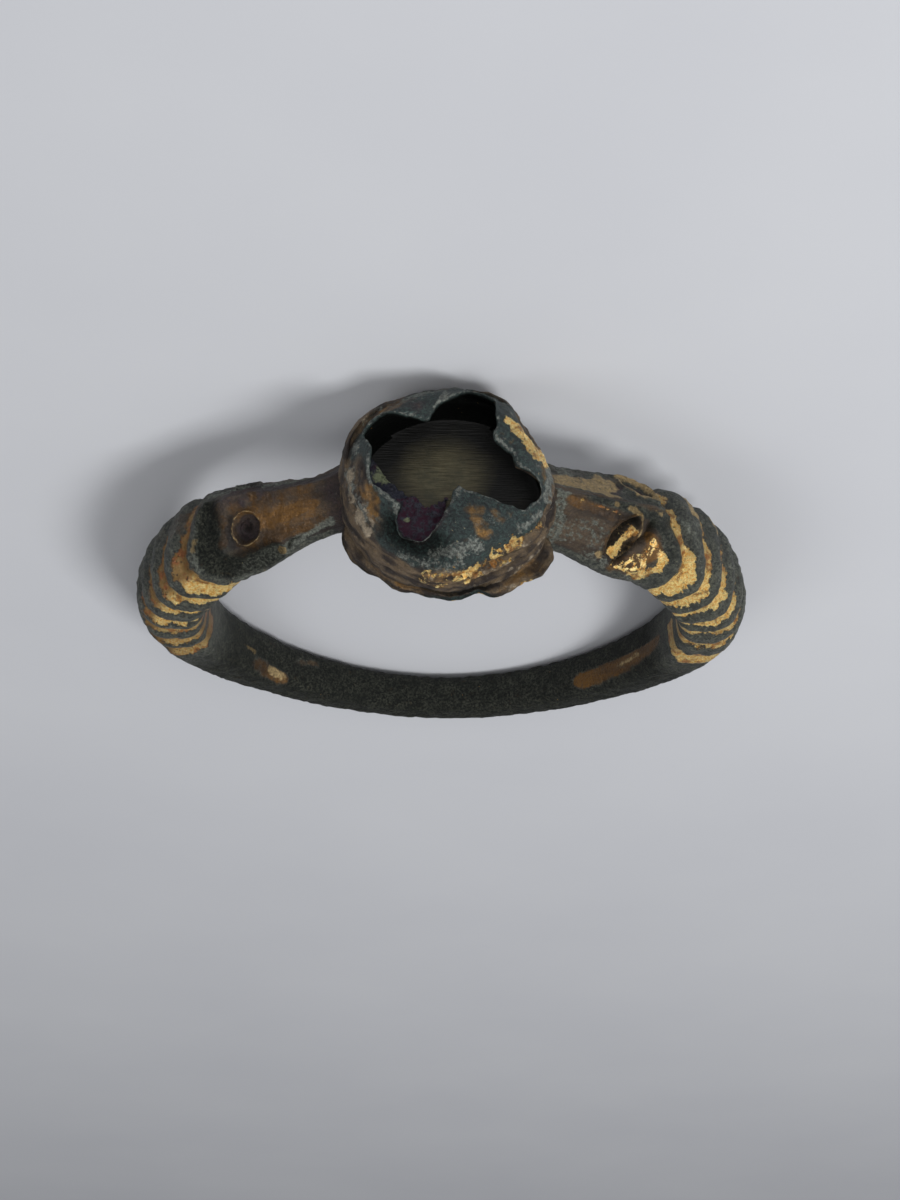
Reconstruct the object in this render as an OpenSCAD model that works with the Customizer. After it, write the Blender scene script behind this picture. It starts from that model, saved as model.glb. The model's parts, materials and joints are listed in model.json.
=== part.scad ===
/* [Hoop] */
// Radius of the finger hole
hole_r = 8.6; // [8.4:0.1:8.8]
// Thickness of the plain hoop under the finger
back_t = 1.5; // [1.3:0.1:1.7]
// Half of the width of the plain hoop under the finger
back_half = 0.85; // [0.75:0.05:0.95]

/* [Necks] */
// Depth of a groove
groove_depth = 0.22; // [0.1:0.02:0.3]
// Half of the angle that a groove takes of a neck
groove_half = 3.3; // [2.8:0.1:3.4]
// How far the right neck's grooves bend towards the head on its crest
right_bend = 4.5; // [3:0.5:6]
// How far the left neck's grooves bend towards the head on its crest
left_bend = 2.5; // [1:0.5:4]
// Thickness of a neck on its ribs
neck_t = 2.5; // [2.3:0.1:2.6]

/* [Bezel] */
// Radius of the bezel wall at the bend
wall_r = 3.35; // [3.25:0.05:3.45]
// Thickness of the bezel sheet
sheet_t = 0.32; // [0.26:0.02:0.4]
// Height of the wall foot over the centre of the finger hole
foot_z = 8.45; // [8.4:0.05:8.5]
// Height of the bend between wall and lip
bend_z = 10.25; // [10.1:0.05:10.4]
// How far the crushed lip rises over the bend
lip_rise = 1.05; // [0.9:0.05:1.2]

/* [Eyes] */
// How far the eyelids stand out of the heads
lid_rise = 0.14; // [0.08:0.02:0.2]
// Half of the width of an eyelid
lid_half = 0.24; // [0.2:0.02:0.28]
// Depth of the hollow between an eye and the neck
cheek_depth = 0.14; // [0.06:0.02:0.18]

/* [Hidden] */

// Lean of the ring as it lies on the bezel and the hoop, and the place that puts the middle of its
// outline on the origin, with its lowest point at zero
rest_tilt = -7.66;
rest_at = [-0.013, 0.673, 1.975];

// Steps round a hoop section and round the bezel
section_steps = 40;
bezel_steps = 60;

// Columns of the tables of the two shoulders. The angle is taken from the bezel. FRONT, BACK and
// RIDGE are places along the finger. KEEL is 0 where the section is round, 1 where it is roofed.
ANGLE = 0;
THICK = 1;
FRONT = 2;
BACK = 3;
RIDGE = 4;
KEEL = 5;
RIGHT_SHOULDER = [
    [15, 2.00, -1.75, 1.10, -0.45, 1.0],
    [24, 2.00, -1.80, 1.00, -0.50, 1.0],
    [32, 2.10, -2.05, 1.15, -0.45, 1.0],
    [40, 2.30, -2.25, 1.30, -0.20, 0.9],
    [47, neck_t, -2.30, 1.35, 0.05, 0.4],
    [62, neck_t, -2.20, 1.35, 0.05, 0.0],
    [80, neck_t, -1.90, 1.25, -0.05, 0.0],
    [100, neck_t - 0.2, -1.50, 1.15, 0, 0.0],
    [130, 1.85, -1.00, 1.00, 0, 0.0],
    [181, back_t, -back_half - 0.1, back_half - 0.2, 0, 0.0]
];
LEFT_SHOULDER = [
    [15, 2.20, -1.40, 1.20, 0.05, 1.0],
    [22, 1.80, -1.40, 0.75, -0.15, 1.0],
    [30, 1.85, -1.60, 0.65, -0.15, 1.0],
    [38, 2.05, -1.95, 0.85, 0.00, 1.0],
    [43, 2.20, -2.20, 1.00, 0.10, 0.8],
    [48, neck_t - 0.12, -2.35, 1.10, 0.10, 0.4],
    [62, neck_t - 0.08, -2.30, 1.20, 0.05, 0.0],
    [80, neck_t, -1.90, 1.20, -0.05, 0.0],
    [100, neck_t - 0.2, -1.50, 1.15, 0, 0.0],
    [130, 1.85, -1.00, 1.00, 0, 0.0],
    [181, back_t, -back_half - 0.1, back_half - 0.2, 0, 0.0]
];
// Angles from the bezel of the grooves cut across the necks
RIGHT_GROOVES = [51.5, 58.4, 65, 72.4, 79.6, 88, 98];
LEFT_GROOVES = [54.3, 61.8, 69, 77, 84, 91.6, 98.4];
// Angles at which the two snouts end inside the bezel wall
RIGHT_SNOUT = 20;
LEFT_SNOUT = 17;

// Columns of the table of eyes: side of the ring (1 right, -1 left), face of the head (0 front,
// 1 back), angle of the middle from the bezel, its place down the face from the ridge (0) to the
// lower edge (1), half length, half width, and turn of the long axis away from the head's length
SIDE = 0;
FACE = 1;
EYE_ANGLE = 2;
EYE_DOWN = 3;
EYE_LONG = 4;
EYE_WIDE = 5;
EYE_TURN = 6;
EYES = [
    [1, 0, 35.7, 0.62, 0.92, 0.56, -72],
    [1, 1, 38.0, 0.55, 0.80, 0.42, -50],
    [-1, 0, 39.0, 0.58, 0.55, 0.54, 0],
    [-1, 1, 39.0, 0.52, 0.50, 0.49, 0]
];
// Columns of the table of hollows between eye and neck: side, face, angle of the middle, half
// width in degrees, and lean towards the neck on the way down the face
CHEEK_ANGLE = 2;
CHEEK_HALF = 3;
CHEEK_LEAN = 4;
CHEEKS = [
    [1, 0, 42.5, 3.0, 1.5],
    [1, 1, 43.5, 3.0, 1.0],
    [-1, 0, 44.8, 3.2, 2.0],
    [-1, 1, 44.8, 3.2, 2.0]
];

// Columns of the table of the torn edge of the lip: angle round the cup and distance from its middle.
// The first fold is the long tongue, the others are the shorter folds at the right, back and left.
TEAR_R = 1;
TEAR = [
    [-62, 0.60], [-46, 0.95], [-38, 1.70], [-33, 2.70], [-14, 2.95], [-5, 2.75],
    [2, 2.05], [36, 1.72], [52, 2.30], [64, 3.10], [76, 3.10], [92, 2.35],
    [113, 1.80], [127, 2.10], [136, 3.05], [150, 3.10], [168, 2.45], [194, 2.45],
    [210, 2.05], [222, 1.90], [229, 2.40], [238, 2.75], [253, 2.68], [261, 2.05],
    [267, 1.35], [282, 0.75], [298, 0.60]
];
// Width over which the lip rises from the bend, how far the tips of the folds sink, the distance from
// the cup's middle at which they begin to sink and the width over which they do
lip_width = 1.15;
lip_sink = 0.25;
sink_from = 2.9;
sink_width = 1.6;

// Columns of the table of lobes round the ragged foot: middle, half width, how far it stands out
LOBE_AT = 0;
LOBE_HALF = 1;
LOBE_OUT = 2;
LOBES = [
    [212, 20, 0.34],
    [238, 13, 0.14],
    [268, 14, 0.06],
    [303, 15, 0.32],
    [325, 14, 0.58],
    [18, 16, 0.15],
    [95, 22, 0.12],
    [150, 18, 0.25]
];
// Columns of the table of dents of the wall: middle, half width, how far the wall is pushed out
DENTS = [
    [28, 34, -0.32],
    [62, 22, 0.14],
    [150, 42, 0.24],
    [303, 26, -0.24],
    [262, 24, 0.12]
];
// Middle of the bezel, thickness and radius of the foot plate, radius of the wall above it, height
// of the middle of the wall and of the cup's floor
bezel_at = [0.23, -0.35];
foot_t = 0.3;
foot_r = 3.38;
belly_r = 3.45;
belly_z = 9.5;
floor_z = 8.95;

// Crust of paste on the floor: first and last angle, thickness, widest and smallest reach from the
// wall, gaps to the wall and to the floor, slope of its edge, number and share of the waves of the
// edge, and two powers that move its widest part and blunt its ends
crust_from = 150;
crust_to = 300;
crust_t = 0.45;
crust_reach = 2.6;
crust_least = 0.25;
crust_gap = 0.17;
crust_lift = 0.02;
crust_slope = 0.2;
crust_waves = 2.5;
crust_wave = 0.08;
crust_skew = 1.3;
crust_blunt = 0.5;

function ease(x) = let (c = min(1, max(0, x))) c * c * (3 - 2 * c);
function mix(a, b, t) = a + (b - a) * t;
function turned(a) = a - 360 * floor((a + 180) / 360);
function total(values, i = 0) = i >= len(values) ? 0 : values[i] + total(values, i + 1);
function row_at(table, angle, i = 0) =
    i >= len(table) - 2 || angle < table[i + 1][ANGLE] ? i : row_at(table, angle, i + 1);
function column(table, angle, col) =
    let (i = row_at(table, angle), from = table[i][ANGLE], to = table[i + 1][ANGLE])
    mix(table[i][col], table[i + 1][col], ease((angle - from) / (to - from)));
function shoulder(side) = side > 0 ? RIGHT_SHOULDER : LEFT_SHOULDER;

// A point of the ring from its side, its angle, its place along the finger and its height
function place(side, angle, along, high) =
    [side * (hole_r + high) * sin(angle), along, (hole_r + high) * cos(angle)];

// Height over the finger hole from which the grooves have their full depth
groove_fade = 0.6;
// Height from which the grooves bend, up to the crest of a neck, angles at which the bend begins and
// ends, and the angles that it takes to reach its full size and to die out
bend_low = 2.0;
bend_from = 44;
bend_in = 10;
bend_to = 97;
bend_out = 30;
// Bend of the grooves at a height over the finger hole, in degrees
function bend_back(side, angle, high) =
    -(side > 0 ? right_bend : left_bend) * ease((high - bend_low) / (neck_t - bend_low))
    * ease((angle - bend_from) / bend_in) * (1 - ease((angle - bend_to) / bend_out));
// Bite of the grooves, 0 on a rib and 1 in the middle of a groove
function groove(side, angle) =
    total([for (g = side > 0 ? RIGHT_GROOVES : LEFT_GROOVES)
        let (x = abs(angle - g) / groove_half) x > 1 ? 0 : pow((1 + cos(180 * x)) / 2, 1.5)]);

// Corners of a roofed section as pairs of along and high: ridge, back edge, two inner corners, and
// the lower and upper edge of the chamfer under the front face, with the step of the outline at which
// each begins, and its angle on a round section. The heights are shares of the thickness.
inner_high = 0.03;
inner_inset = 0.22;
back_high = 0.52;
chamfer_low = 0.16;
chamfer_high = 0.48;
chamfer_along = 0.82;
chamfer_inset = 0.1;
function corners(t, f, b, r) =
    [[r, t], [b, t * back_high], [b - inner_inset, inner_high], [f + inner_inset, inner_high],
     [f + chamfer_inset, t * chamfer_low], [mix(r, f, chamfer_along), t * chamfer_high], [r, t]];
CORNER_STEP = [0, 11, 14, 18, 20, 23, 40];
CORNER_TURN = [0, 90, 124, 191, 212, 238, 360];
// Corners at which the back face ends and the front face begins
BACK_END = 1;
FRONT_START = 5;
function corner_before(i, j = 0) = i < CORNER_STEP[j + 1] ? j : corner_before(i, j + 1);
function between(values, i) =
    let (j = corner_before(i), share = (i - CORNER_STEP[j]) / (CORNER_STEP[j + 1] - CORNER_STEP[j]))
    mix(values[j], values[j + 1], share);
// The same point of a round section, which is flattened on the side of the finger. A smaller power
// makes the section squarer.
inner_power = 0.5;
outer_power = 0.85;
function signed_pow(x, p) = sign(x) * pow(abs(x), p);
function rounded(t, f, b, i) =
    let (a = between(CORNER_TURN, i), inside = cos(a) < 0)
    [(f + b) / 2 + (b - f) / 2 * signed_pow(sin(a), inside ? inner_power : 1),
     t / 2 + t / 2 * signed_pow(cos(a), inside ? inner_power : outer_power)];

// Distance from the outline of a lens of that half length and half width, less than 0 inside it
function lens(x, y, long, wide) =
    norm([x, abs(y) + (long * long - wide * wide) / (2 * wide)]) - (long * long + wide * wide) / (2 * wide);
// Relief of an eye at an angle and a place down a face of that width: raised lids, sunk middle
degree = (hole_r + neck_t * 0.6) * PI / 180;
function eye_relief(eye, angle, down, width) =
    let (x = (angle - eye[EYE_ANGLE]) * degree,
         y = (down - eye[EYE_DOWN]) * width,
         c = cos(eye[EYE_TURN]),
         s = sin(eye[EYE_TURN]),
         d = lens(x * c + y * s, y * c - x * s, eye[EYE_LONG], eye[EYE_WIDE]))
    lid_rise * (max(0, 1 - pow(d / lid_half, 2)) - ease(-d / lid_half - 0.5) / 2);
function cheek_relief(cheek, angle, down) =
    let (x = abs(angle - cheek[CHEEK_ANGLE] - cheek[CHEEK_LEAN] * down) / cheek[CHEEK_HALF])
    x > 1 ? 0 : -cheek_depth * pow(1 - x * x, 2) * ease(down * 4);
function relief(side, angle, i, width) =
    let (from = CORNER_STEP[FRONT_START],
         front = i > from,
         face = front ? 0 : 1,
         down = front ? (section_steps - i) / (section_steps - from) : i / CORNER_STEP[BACK_END])
    front || i < CORNER_STEP[BACK_END]
        ? total([for (e = EYES) if (e[SIDE] == side && e[FACE] == face) eye_relief(e, angle, down, width)])
          + total([for (c = CHEEKS) if (c[SIDE] == side && c[FACE] == face) cheek_relief(c, angle, down)])
        : 0;

function section(side, angle) =
    let (table = shoulder(side),
         t = column(table, angle, THICK),
         f = column(table, angle, FRONT),
         b = column(table, angle, BACK),
         r = column(table, angle, RIDGE),
         keel = column(table, angle, KEEL),
         sharp = corners(t, f, b, r),
         bite = groove_depth * min(1, groove(side, angle)),
         middle = (f + b) / 2)
    [for (i = [0:section_steps - 1])
        let (p = mix(rounded(t, f, b, i), between(sharp, i), keel),
             outer = ease(p[1] / groove_fade),
             edge = sharp[i > section_steps / 2 ? FRONT_START : BACK_END],
             face = i > section_steps / 2 ? [edge[1] - t, r - edge[0]] : [t - edge[1], edge[0] - r],
             out = face / norm(face) * relief(side, angle, i, norm(face)))
        [p[0] - bite * outer * (p[0] - middle) / (b - f) * 2, p[1] - bite * outer] + out];

// Angles of the sections on one side, closest on the eyes and the neck, with the step on the neck
// and the angle behind the last groove
groove_step = 1.8;
grooves_end = 102;
function stations(side, snout) =
    let (from = (side > 0 ? RIGHT_GROOVES : LEFT_GROOVES)[0] - groove_half)
    concat(
        [for (a = [snout:3:30]) a],
        [for (a = [31.5:0.95:from - 0.7]) a],
        [for (a = [from:groove_step:grooves_end]) a],
        [for (a = [grooves_end + 2:7.6:180]) a]);

module hoop() {
    right = stations(1, RIGHT_SNOUT);
    left = stations(-1, LEFT_SNOUT);
    rings = concat(
        [for (a = right) [for (p = section(1, a)) place(1, a + bend_back(1, a, p[1]), p[0], p[1])]],
        [for (i = [len(left) - 1:-1:0])
            [for (p = section(-1, left[i])) place(-1, left[i] + bend_back(-1, left[i], p[1]), p[0], p[1])]]);
    n = section_steps;
    last = (len(rings) - 1) * n;
    polyhedron(
        points = [for (r = rings) each r],
        faces = concat(
            [[for (i = [n - 1:-1:0]) i]],
            [for (r = [0:len(rings) - 2]) for (i = [0:n - 1])
                let (a = r * n + i, b = r * n + (i + 1) % n) each [[a, b, b + n], [a, b + n, a + n]]],
            [[for (i = [0:n - 1]) last + i]]));
}

// Distance of the torn edge from the middle of the cup
tear_end = TEAR[len(TEAR) - 1][ANGLE];
function mouth(angle) = column(TEAR, angle > tear_end ? angle - 360 : angle, TEAR_R);
// Sum of the lobes or dents at an angle. A higher power makes them blunter.
function swell(table, angle, power) =
    total([for (l = table)
        let (x = abs(turned(angle - l[LOBE_AT])) / l[LOBE_HALF])
        x > 1 ? 0 : l[LOBE_OUT] * pow(1 - pow(x, power), 2)]);
function foot(angle) = foot_r + swell(LOBES, angle, 4);
// Height of the lip at a distance from the middle of the cup
function lip_z(r) =
    bend_z + lip_rise * sin(90 * min(1, (wall_r - r) / lip_width))
    - lip_sink * ease((sink_from - r) / sink_width);

// Outline of the cup at one angle as pairs of radius and height, from the foot over the lip to the floor
function cup_line(angle) =
    let (m = mouth(angle), dent = swell(DENTS, angle, 2), bend = wall_r + dent, half = (bend + m) / 2,
         edge = foot(angle), in = sheet_t)
    [[edge - 0.08, foot_z], [edge, foot_z + foot_t / 2], [edge - 0.1, foot_z + foot_t],
     [min(edge, belly_r) - 0.1, foot_z + foot_t + 0.12], [belly_r + dent / 2, belly_z],
     [bend + 0.02, bend_z - 0.1], [bend - 0.13, bend_z + 0.2], [half, lip_z(half)],
     [m + 0.06, lip_z(m)], [m, lip_z(m) - in / 2], [m + 0.06, lip_z(m) - in],
     [half, lip_z(half) - in], [bend - in - 0.1, bend_z - 0.1],
     [belly_r + dent / 2 - in - 0.04, belly_z], [belly_r + dent / 2 - in - 0.1, floor_z]];

module cup() {
    lines = [for (i = [0:bezel_steps - 1])
        let (a = 360 * i / bezel_steps)
        [for (p = cup_line(a)) [bezel_at[0] + p[0] * cos(a), bezel_at[1] + p[0] * sin(a), p[1]]]];
    k = len(lines[0]);
    under = bezel_steps * k;
    polyhedron(
        points = concat([for (l = lines) each l],
                        [[bezel_at[0], bezel_at[1], foot_z], [bezel_at[0], bezel_at[1], floor_z]]),
        faces = [for (i = [0:bezel_steps - 1])
            let (a = i * k, b = (i + 1) % bezel_steps * k)
            each concat(
                [for (j = [0:k - 2]) each [[a + j, a + j + 1, b + j + 1], [a + j, b + j + 1, b + j]]],
                [[under, a, b], [under + 1, b + k - 1, a + k - 1]])]);
}

// From the upright ring, with the bezel on top, to the ring as it lies with its front face up
module lying() {
    translate(rest_at)
        rotate([rest_tilt, 0, 0])
            rotate([-90, 0, 180])
                children();
}

// The cast and soldered metal ring: hoop, ribbed necks, animal heads and the crushed empty bezel
module ring() {
    color("darkgoldenrod")
        lying() {
            hoop();
            cup();
        }
}

// Remains of purple paste that cling to the floor of the cup
module paste_remains() {
    steps = 18;
    base = floor_z + crust_lift;
    // Inner radius, angle and outer radius of each station. The outer one follows the wall's dents.
    stations = [for (i = [0:steps])
        let (s = i / steps, angle = mix(crust_from, crust_to, s),
             outer = belly_r + min(0, swell(DENTS, angle, 2)) / 2 - sheet_t - crust_gap,
             waves = 1 - crust_wave * cos(360 * crust_waves * s),
             reach = crust_reach * pow(sin(180 * pow(s, crust_skew)), crust_blunt) * waves)
        [outer - max(crust_least, reach), angle, outer]];
    color("indigo")
        lying()
            polyhedron(
                points = [for (p = stations)
                    let (c = cos(p[1]), s = sin(p[1]), top = floor_z + crust_t * mix(0.8, 1, sin(7 * p[1])))
                    let (in = p[0], rim = in + crust_slope)
                    each [for (q = [[p[2], base], [p[2], top], [rim, top], [in, base]])
                        [bezel_at[0] + q[0] * c, bezel_at[1] + q[0] * s, q[1]]]],
                faces = concat(
                    [[3, 2, 1, 0]],
                    [for (i = [0:steps - 1]) for (j = [0:3])
                        let (a = i * 4 + j, b = i * 4 + (j + 1) % 4) each [[a, b, b + 4], [a, b + 4, a + 4]]],
                    [[for (j = [0:3]) steps * 4 + j]]));
}

ring();
paste_remains();
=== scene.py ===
# %% [markdown]
# This lesson dresses a small, very worn finger ring of gilt copper alloy. Two animal heads on
# ribbed necks bite a round, empty bezel whose thin lip is crushed and torn.
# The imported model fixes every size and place. The ring could be a single sculpted mesh, but it was
# made as a cast hoop with a sheet metal cup soldered on, so it is built here in the same way.

# %% Load the frame
import json
import math

import bmesh
import bpy
import numpy as np
from mathutils import Matrix, Vector, noise

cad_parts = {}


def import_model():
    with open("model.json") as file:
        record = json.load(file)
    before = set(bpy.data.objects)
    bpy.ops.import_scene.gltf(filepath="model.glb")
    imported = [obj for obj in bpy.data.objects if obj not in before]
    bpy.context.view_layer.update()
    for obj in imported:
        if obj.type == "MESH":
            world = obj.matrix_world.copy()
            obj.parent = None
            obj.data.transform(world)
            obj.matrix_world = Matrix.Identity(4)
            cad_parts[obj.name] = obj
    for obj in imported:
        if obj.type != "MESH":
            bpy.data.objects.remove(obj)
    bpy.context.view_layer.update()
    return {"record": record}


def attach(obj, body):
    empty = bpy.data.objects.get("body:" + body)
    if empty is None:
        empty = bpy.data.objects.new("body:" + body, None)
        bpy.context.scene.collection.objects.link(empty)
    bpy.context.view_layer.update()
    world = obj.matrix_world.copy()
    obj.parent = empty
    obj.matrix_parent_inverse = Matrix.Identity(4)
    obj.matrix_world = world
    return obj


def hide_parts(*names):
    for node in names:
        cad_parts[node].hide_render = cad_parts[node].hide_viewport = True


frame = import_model()

# %% [markdown]
# The ring lies on its side, which is an awkward way to think about it. It is modelled upright
# instead: x runs across the hoop, y along the finger and z up to the bezel, all in millimetres and
# from the middle of the finger hole. The record's mount says where that middle is and how it leans.

# %% The upright space of the ring
MM = 0.001
hole = next(m for m in frame["record"]["mounts"] if m["name"] == "finger_hole")
lean = math.atan2(-hole["axis"][1], hole["axis"][2])
LYING = (Matrix.Translation(hole["pos_m"]) @ Matrix.Rotation(lean, 4, "X")
         @ Matrix.Rotation(math.pi, 4, "Z") @ Matrix.Rotation(-math.pi / 2, 4, "X") @ Matrix.Scale(MM, 4))
print("lean of the lying ring:", round(math.degrees(lean), 2), "degrees")

# %% [markdown]
# The photo looks down on the bezel from the front. A camera could be aimed with a Track To
# constraint, but three plain directions say exactly where it looks and how it is rolled. The ring
# lies on its side here, so this view of it is rolled against the floor.

# %% Camera
CAMERA_AT = Vector((0.33, -27.41, 60.70))
CAMERA_DOWN = math.radians(65.6)
CAMERA_ROLL = math.radians(0.9)
CAMERA_LENS = 54.1


def new_object(name, data):
    """A new object of the scene for this mesh, light or camera."""
    made = bpy.data.objects.new(name, data)
    bpy.context.scene.collection.objects.link(made)
    return made


forward = Vector((0, math.cos(CAMERA_DOWN), -math.sin(CAMERA_DOWN)))
level = Vector((1, 0, 0))
upward = level.cross(forward)
right = level * math.cos(CAMERA_ROLL) + upward * math.sin(CAMERA_ROLL)
up = upward * math.cos(CAMERA_ROLL) - level * math.sin(CAMERA_ROLL)
aim = (LYING.to_3x3() @ Matrix((right, up, -forward)).transposed()).normalized()
camera = new_object("camera", bpy.data.cameras.new("camera"))
camera.matrix_world = Matrix.LocRotScale(LYING @ CAMERA_AT, aim.to_quaternion(), None)
camera.data.lens = CAMERA_LENS
camera.data.clip_start = 1 * MM
camera.data.clip_end = 10
bpy.context.scene.camera = camera
print("camera stands", round(camera.location.z / MM, 1), "mm over the floor")

# %% [markdown]
# A floor in the render is only a stage. A single flat colour would look like paper, so a very weak
# mottle is mixed in. The lights could be small lamps, but gilding shows what it reflects, so they
# are soft boxes: one strong on the right of the photo, and weak ones that fill the shadows.

# %% Stage and lights
FLOOR_SIDE = 1.2
floor_mesh = bpy.data.meshes.new("floor")
bm = bmesh.new()
bmesh.ops.create_grid(bm, x_segments=1, y_segments=1, size=FLOOR_SIDE / 2)
bm.to_mesh(floor_mesh)
bm.free()
floor = new_object("floor", floor_mesh)


def soft_box(name, toward, distance, side, watts):
    """A square soft light on the side of the ring that toward names, in the upright space."""
    data = bpy.data.lights.new(name, "AREA")
    data.size = side * MM
    data.energy = watts
    light = new_object(name, data)
    place = LYING @ (Vector(toward).normalized() * distance)
    out = (place - LYING.translation).normalized()
    light.matrix_world = Matrix.LocRotScale(place, out.to_track_quat("Z", "Y"), None)
    print(name, "light stands", round(place.z / MM), "mm over the floor")


soft_box("key", toward=(0.60, -0.80, 0.45), distance=150, side=55, watts=0.16)
soft_box("fill", toward=(-0.65, -0.75, 0.35), distance=170, side=90, watts=0.05)
soft_box("top", toward=(0.15, -0.40, 1.0), distance=180, side=70, watts=0.07)
SKY = (0.95, 0.96, 1.0, 1)
SKY_STRENGTH = 0.3
world = bpy.data.worlds.new("studio")
world.use_nodes = True
background = world.node_tree.nodes["Background"]
background.inputs["Color"].default_value = SKY
background.inputs["Strength"].default_value = SKY_STRENGTH
bpy.context.scene.world = world
bpy.context.scene.view_settings.view_transform = "Standard"

# %% [markdown]
# Small helpers serve every piece. One eases a number between 0 and 1, and another makes a soft bump
# that falls from 1 in the middle to 0 at its edge. Rough noise keeps anything from looking machined.
# Textures could give the same roughness, but only real relief shows on an outline. The last helpers
# read and move the vertices of a mesh and lay the finished piece down.


# %% Helpers for shapes
def ease(x):
    """0 below 0, 1 above 1, and a smooth step between."""
    x = np.clip(x, 0, 1)
    return x * x * (3 - 2 * x)


def bump(x):
    """A soft hill: 1 at 0, and 0 from 1 outwards on both sides."""
    return np.clip(1 - np.square(x), 0, 1) ** 2


def after(value, start, width):
    """0 up to the start, rising to 1 over that width."""
    return ease((value - start) / width)


def before(value, end, width):
    """1, falling to 0 at the end over that width."""
    return ease((end - value) / width)


def near(value, middle, half):
    """A soft hill over the values near the middle, and 0 from that far away."""
    return bump((value - middle) / half)


def strongest(*masks):
    """The highest of several masks at every vertex."""
    return np.maximum.reduce(masks)


def turned(angle):
    """The same angle between -180 and 180 degrees."""
    return (angle + 180) % 360 - 180


def lumps(points, width, octaves=4, seed=0):
    """Rough noise of about -1 to 1 at each point. Its widest lumps are that wide, in mm."""
    shift = Vector((17.3, 5.1, 9.7)) * seed
    return np.array([noise.fractal(Vector(p) / width + shift, 1.0, 2.0, octaves) for p in points])


def line_distance(x, y, points):
    """Distance of every place of a plane from a line through those points."""
    nearest = np.full(len(x), np.inf)
    for (x1, y1), (x2, y2) in zip(points, points[1:]):
        dx, dy = x2 - x1, y2 - y1
        t = np.clip(((x - x1) * dx + (y - y1) * dy) / (dx * dx + dy * dy), 0, 1)
        nearest = np.minimum(nearest, np.hypot(x - x1 - t * dx, y - y1 - t * dy))
    return nearest


def read(mesh, what):
    """The places or normals of a mesh's vertices as rows of three numbers."""
    values = np.zeros(len(mesh.vertices) * 3, np.float32)
    mesh.vertices.foreach_get(what, values)
    return values.reshape(-1, 3).astype(float)


def write(mesh, places):
    """Moves a mesh's vertices to these places."""
    mesh.vertices.foreach_set("co", places.astype(np.float32).ravel())
    mesh.update()


def mark(mesh, name, values):
    """Keeps a number between 0 and 1 for each vertex, for the materials to read."""
    kept = np.clip(values, 0, 1).astype(np.float32)
    mesh.attributes.new(name, "FLOAT", "POINT").data.foreach_set("value", kept)


def ball_mesh(name, segments, rings):
    """A mesh that starts as a ball of radius 1, and the places of its vertices."""
    mesh = bpy.data.meshes.new(name)
    bm = bmesh.new()
    bmesh.ops.create_uvsphere(bm, u_segments=segments, v_segments=rings, radius=1)
    bm.to_mesh(mesh)
    bm.free()
    return mesh, read(mesh, "co")


def finished(name, mesh):
    """The piece made from an upright mesh: laid down, in metres, smooth and on the ring's body."""
    mesh.transform(LYING)
    mesh.shade_smooth()
    piece = new_object(name, mesh)
    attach(piece, "root")
    print(name, "has", len(mesh.vertices), "vertices")
    return piece


# %% [markdown]
# The hoop is one casting: plain under the finger, ribbed at the necks, and flattened into two heads
# whose snouts run under the bezel. A curve with a bevel object would sweep one section only, so the
# section of a plain ring is spun round the finger hole and then every vertex is moved to the place
# that the tables below give it. Each row is a section at an angle from the bezel: its thickness,
# the places of its front edge, back edge and ridge along the finger, and how sharply it is roofed.

# %% Sections of the hoop
HOLE_R = 8.6
NECK_T = 2.5
BACK_T = 1.5
BACK_HALF = 0.85
ANGLE, THICK, FRONT, BACK, RIDGE, KEEL = range(6)
PLAIN_HOOP = [(130, 1.85, -1.00, 1.00, 0, 0.0),
              (181, BACK_T, -BACK_HALF - 0.1, BACK_HALF - 0.2, 0, 0.0)]
RIGHT_SHOULDER = np.array([
    (15, 2.00, -1.75, 1.10, -0.45, 1.0),
    (24, 2.00, -1.80, 1.00, -0.50, 1.0),
    (32, 2.10, -2.05, 1.15, -0.45, 1.0),
    (40, 2.30, -2.25, 1.30, -0.20, 0.9),
    (47, NECK_T, -2.30, 1.35, 0.05, 0.4),
    (62, NECK_T, -2.20, 1.35, 0.05, 0.0),
    (80, NECK_T, -1.90, 1.25, -0.05, 0.0),
    (100, NECK_T - 0.2, -1.50, 1.15, 0, 0.0), *PLAIN_HOOP])
LEFT_SHOULDER = np.array([
    (15, 2.20, -1.40, 1.20, 0.05, 1.0),
    (22, 1.80, -1.40, 0.75, -0.15, 1.0),
    (30, 1.85, -1.60, 0.65, -0.15, 1.0),
    (38, 2.05, -1.95, 0.85, 0.00, 1.0),
    (43, 2.20, -2.20, 1.00, 0.10, 0.8),
    (48, NECK_T - 0.12, -2.35, 1.10, 0.10, 0.4),
    (62, NECK_T - 0.08, -2.30, 1.20, 0.05, 0.0),
    (80, NECK_T, -1.90, 1.20, -0.05, 0.0),
    (100, NECK_T - 0.2, -1.50, 1.15, 0, 0.0), *PLAIN_HOOP])
RIGHT_SNOUT = 20
LEFT_SNOUT = 17


def smooth_column(table, column, angle):
    """One column of a table as a smooth curve through its rows, at every angle."""
    at, value = table[:, ANGLE], table[:, column]
    slope = np.gradient(value, at)
    slope[-1] = 0
    row = np.clip(np.searchsorted(at, angle) - 1, 0, len(at) - 2)
    width = at[row + 1] - at[row]
    t = (angle - at[row]) / width
    return ((1 - 3 * t**2 + 2 * t**3) * value[row] + (t - 2 * t**2 + t**3) * width * slope[row]
            + (3 * t**2 - 2 * t**3) * value[row + 1] + (t**3 - t**2) * width * slope[row + 1])

# %% [markdown]
# The spin makes even steps, but the heads and necks need far more detail than the plain hoop. The
# steps are therefore spread again: most of them go to the two decorated ends.

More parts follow.
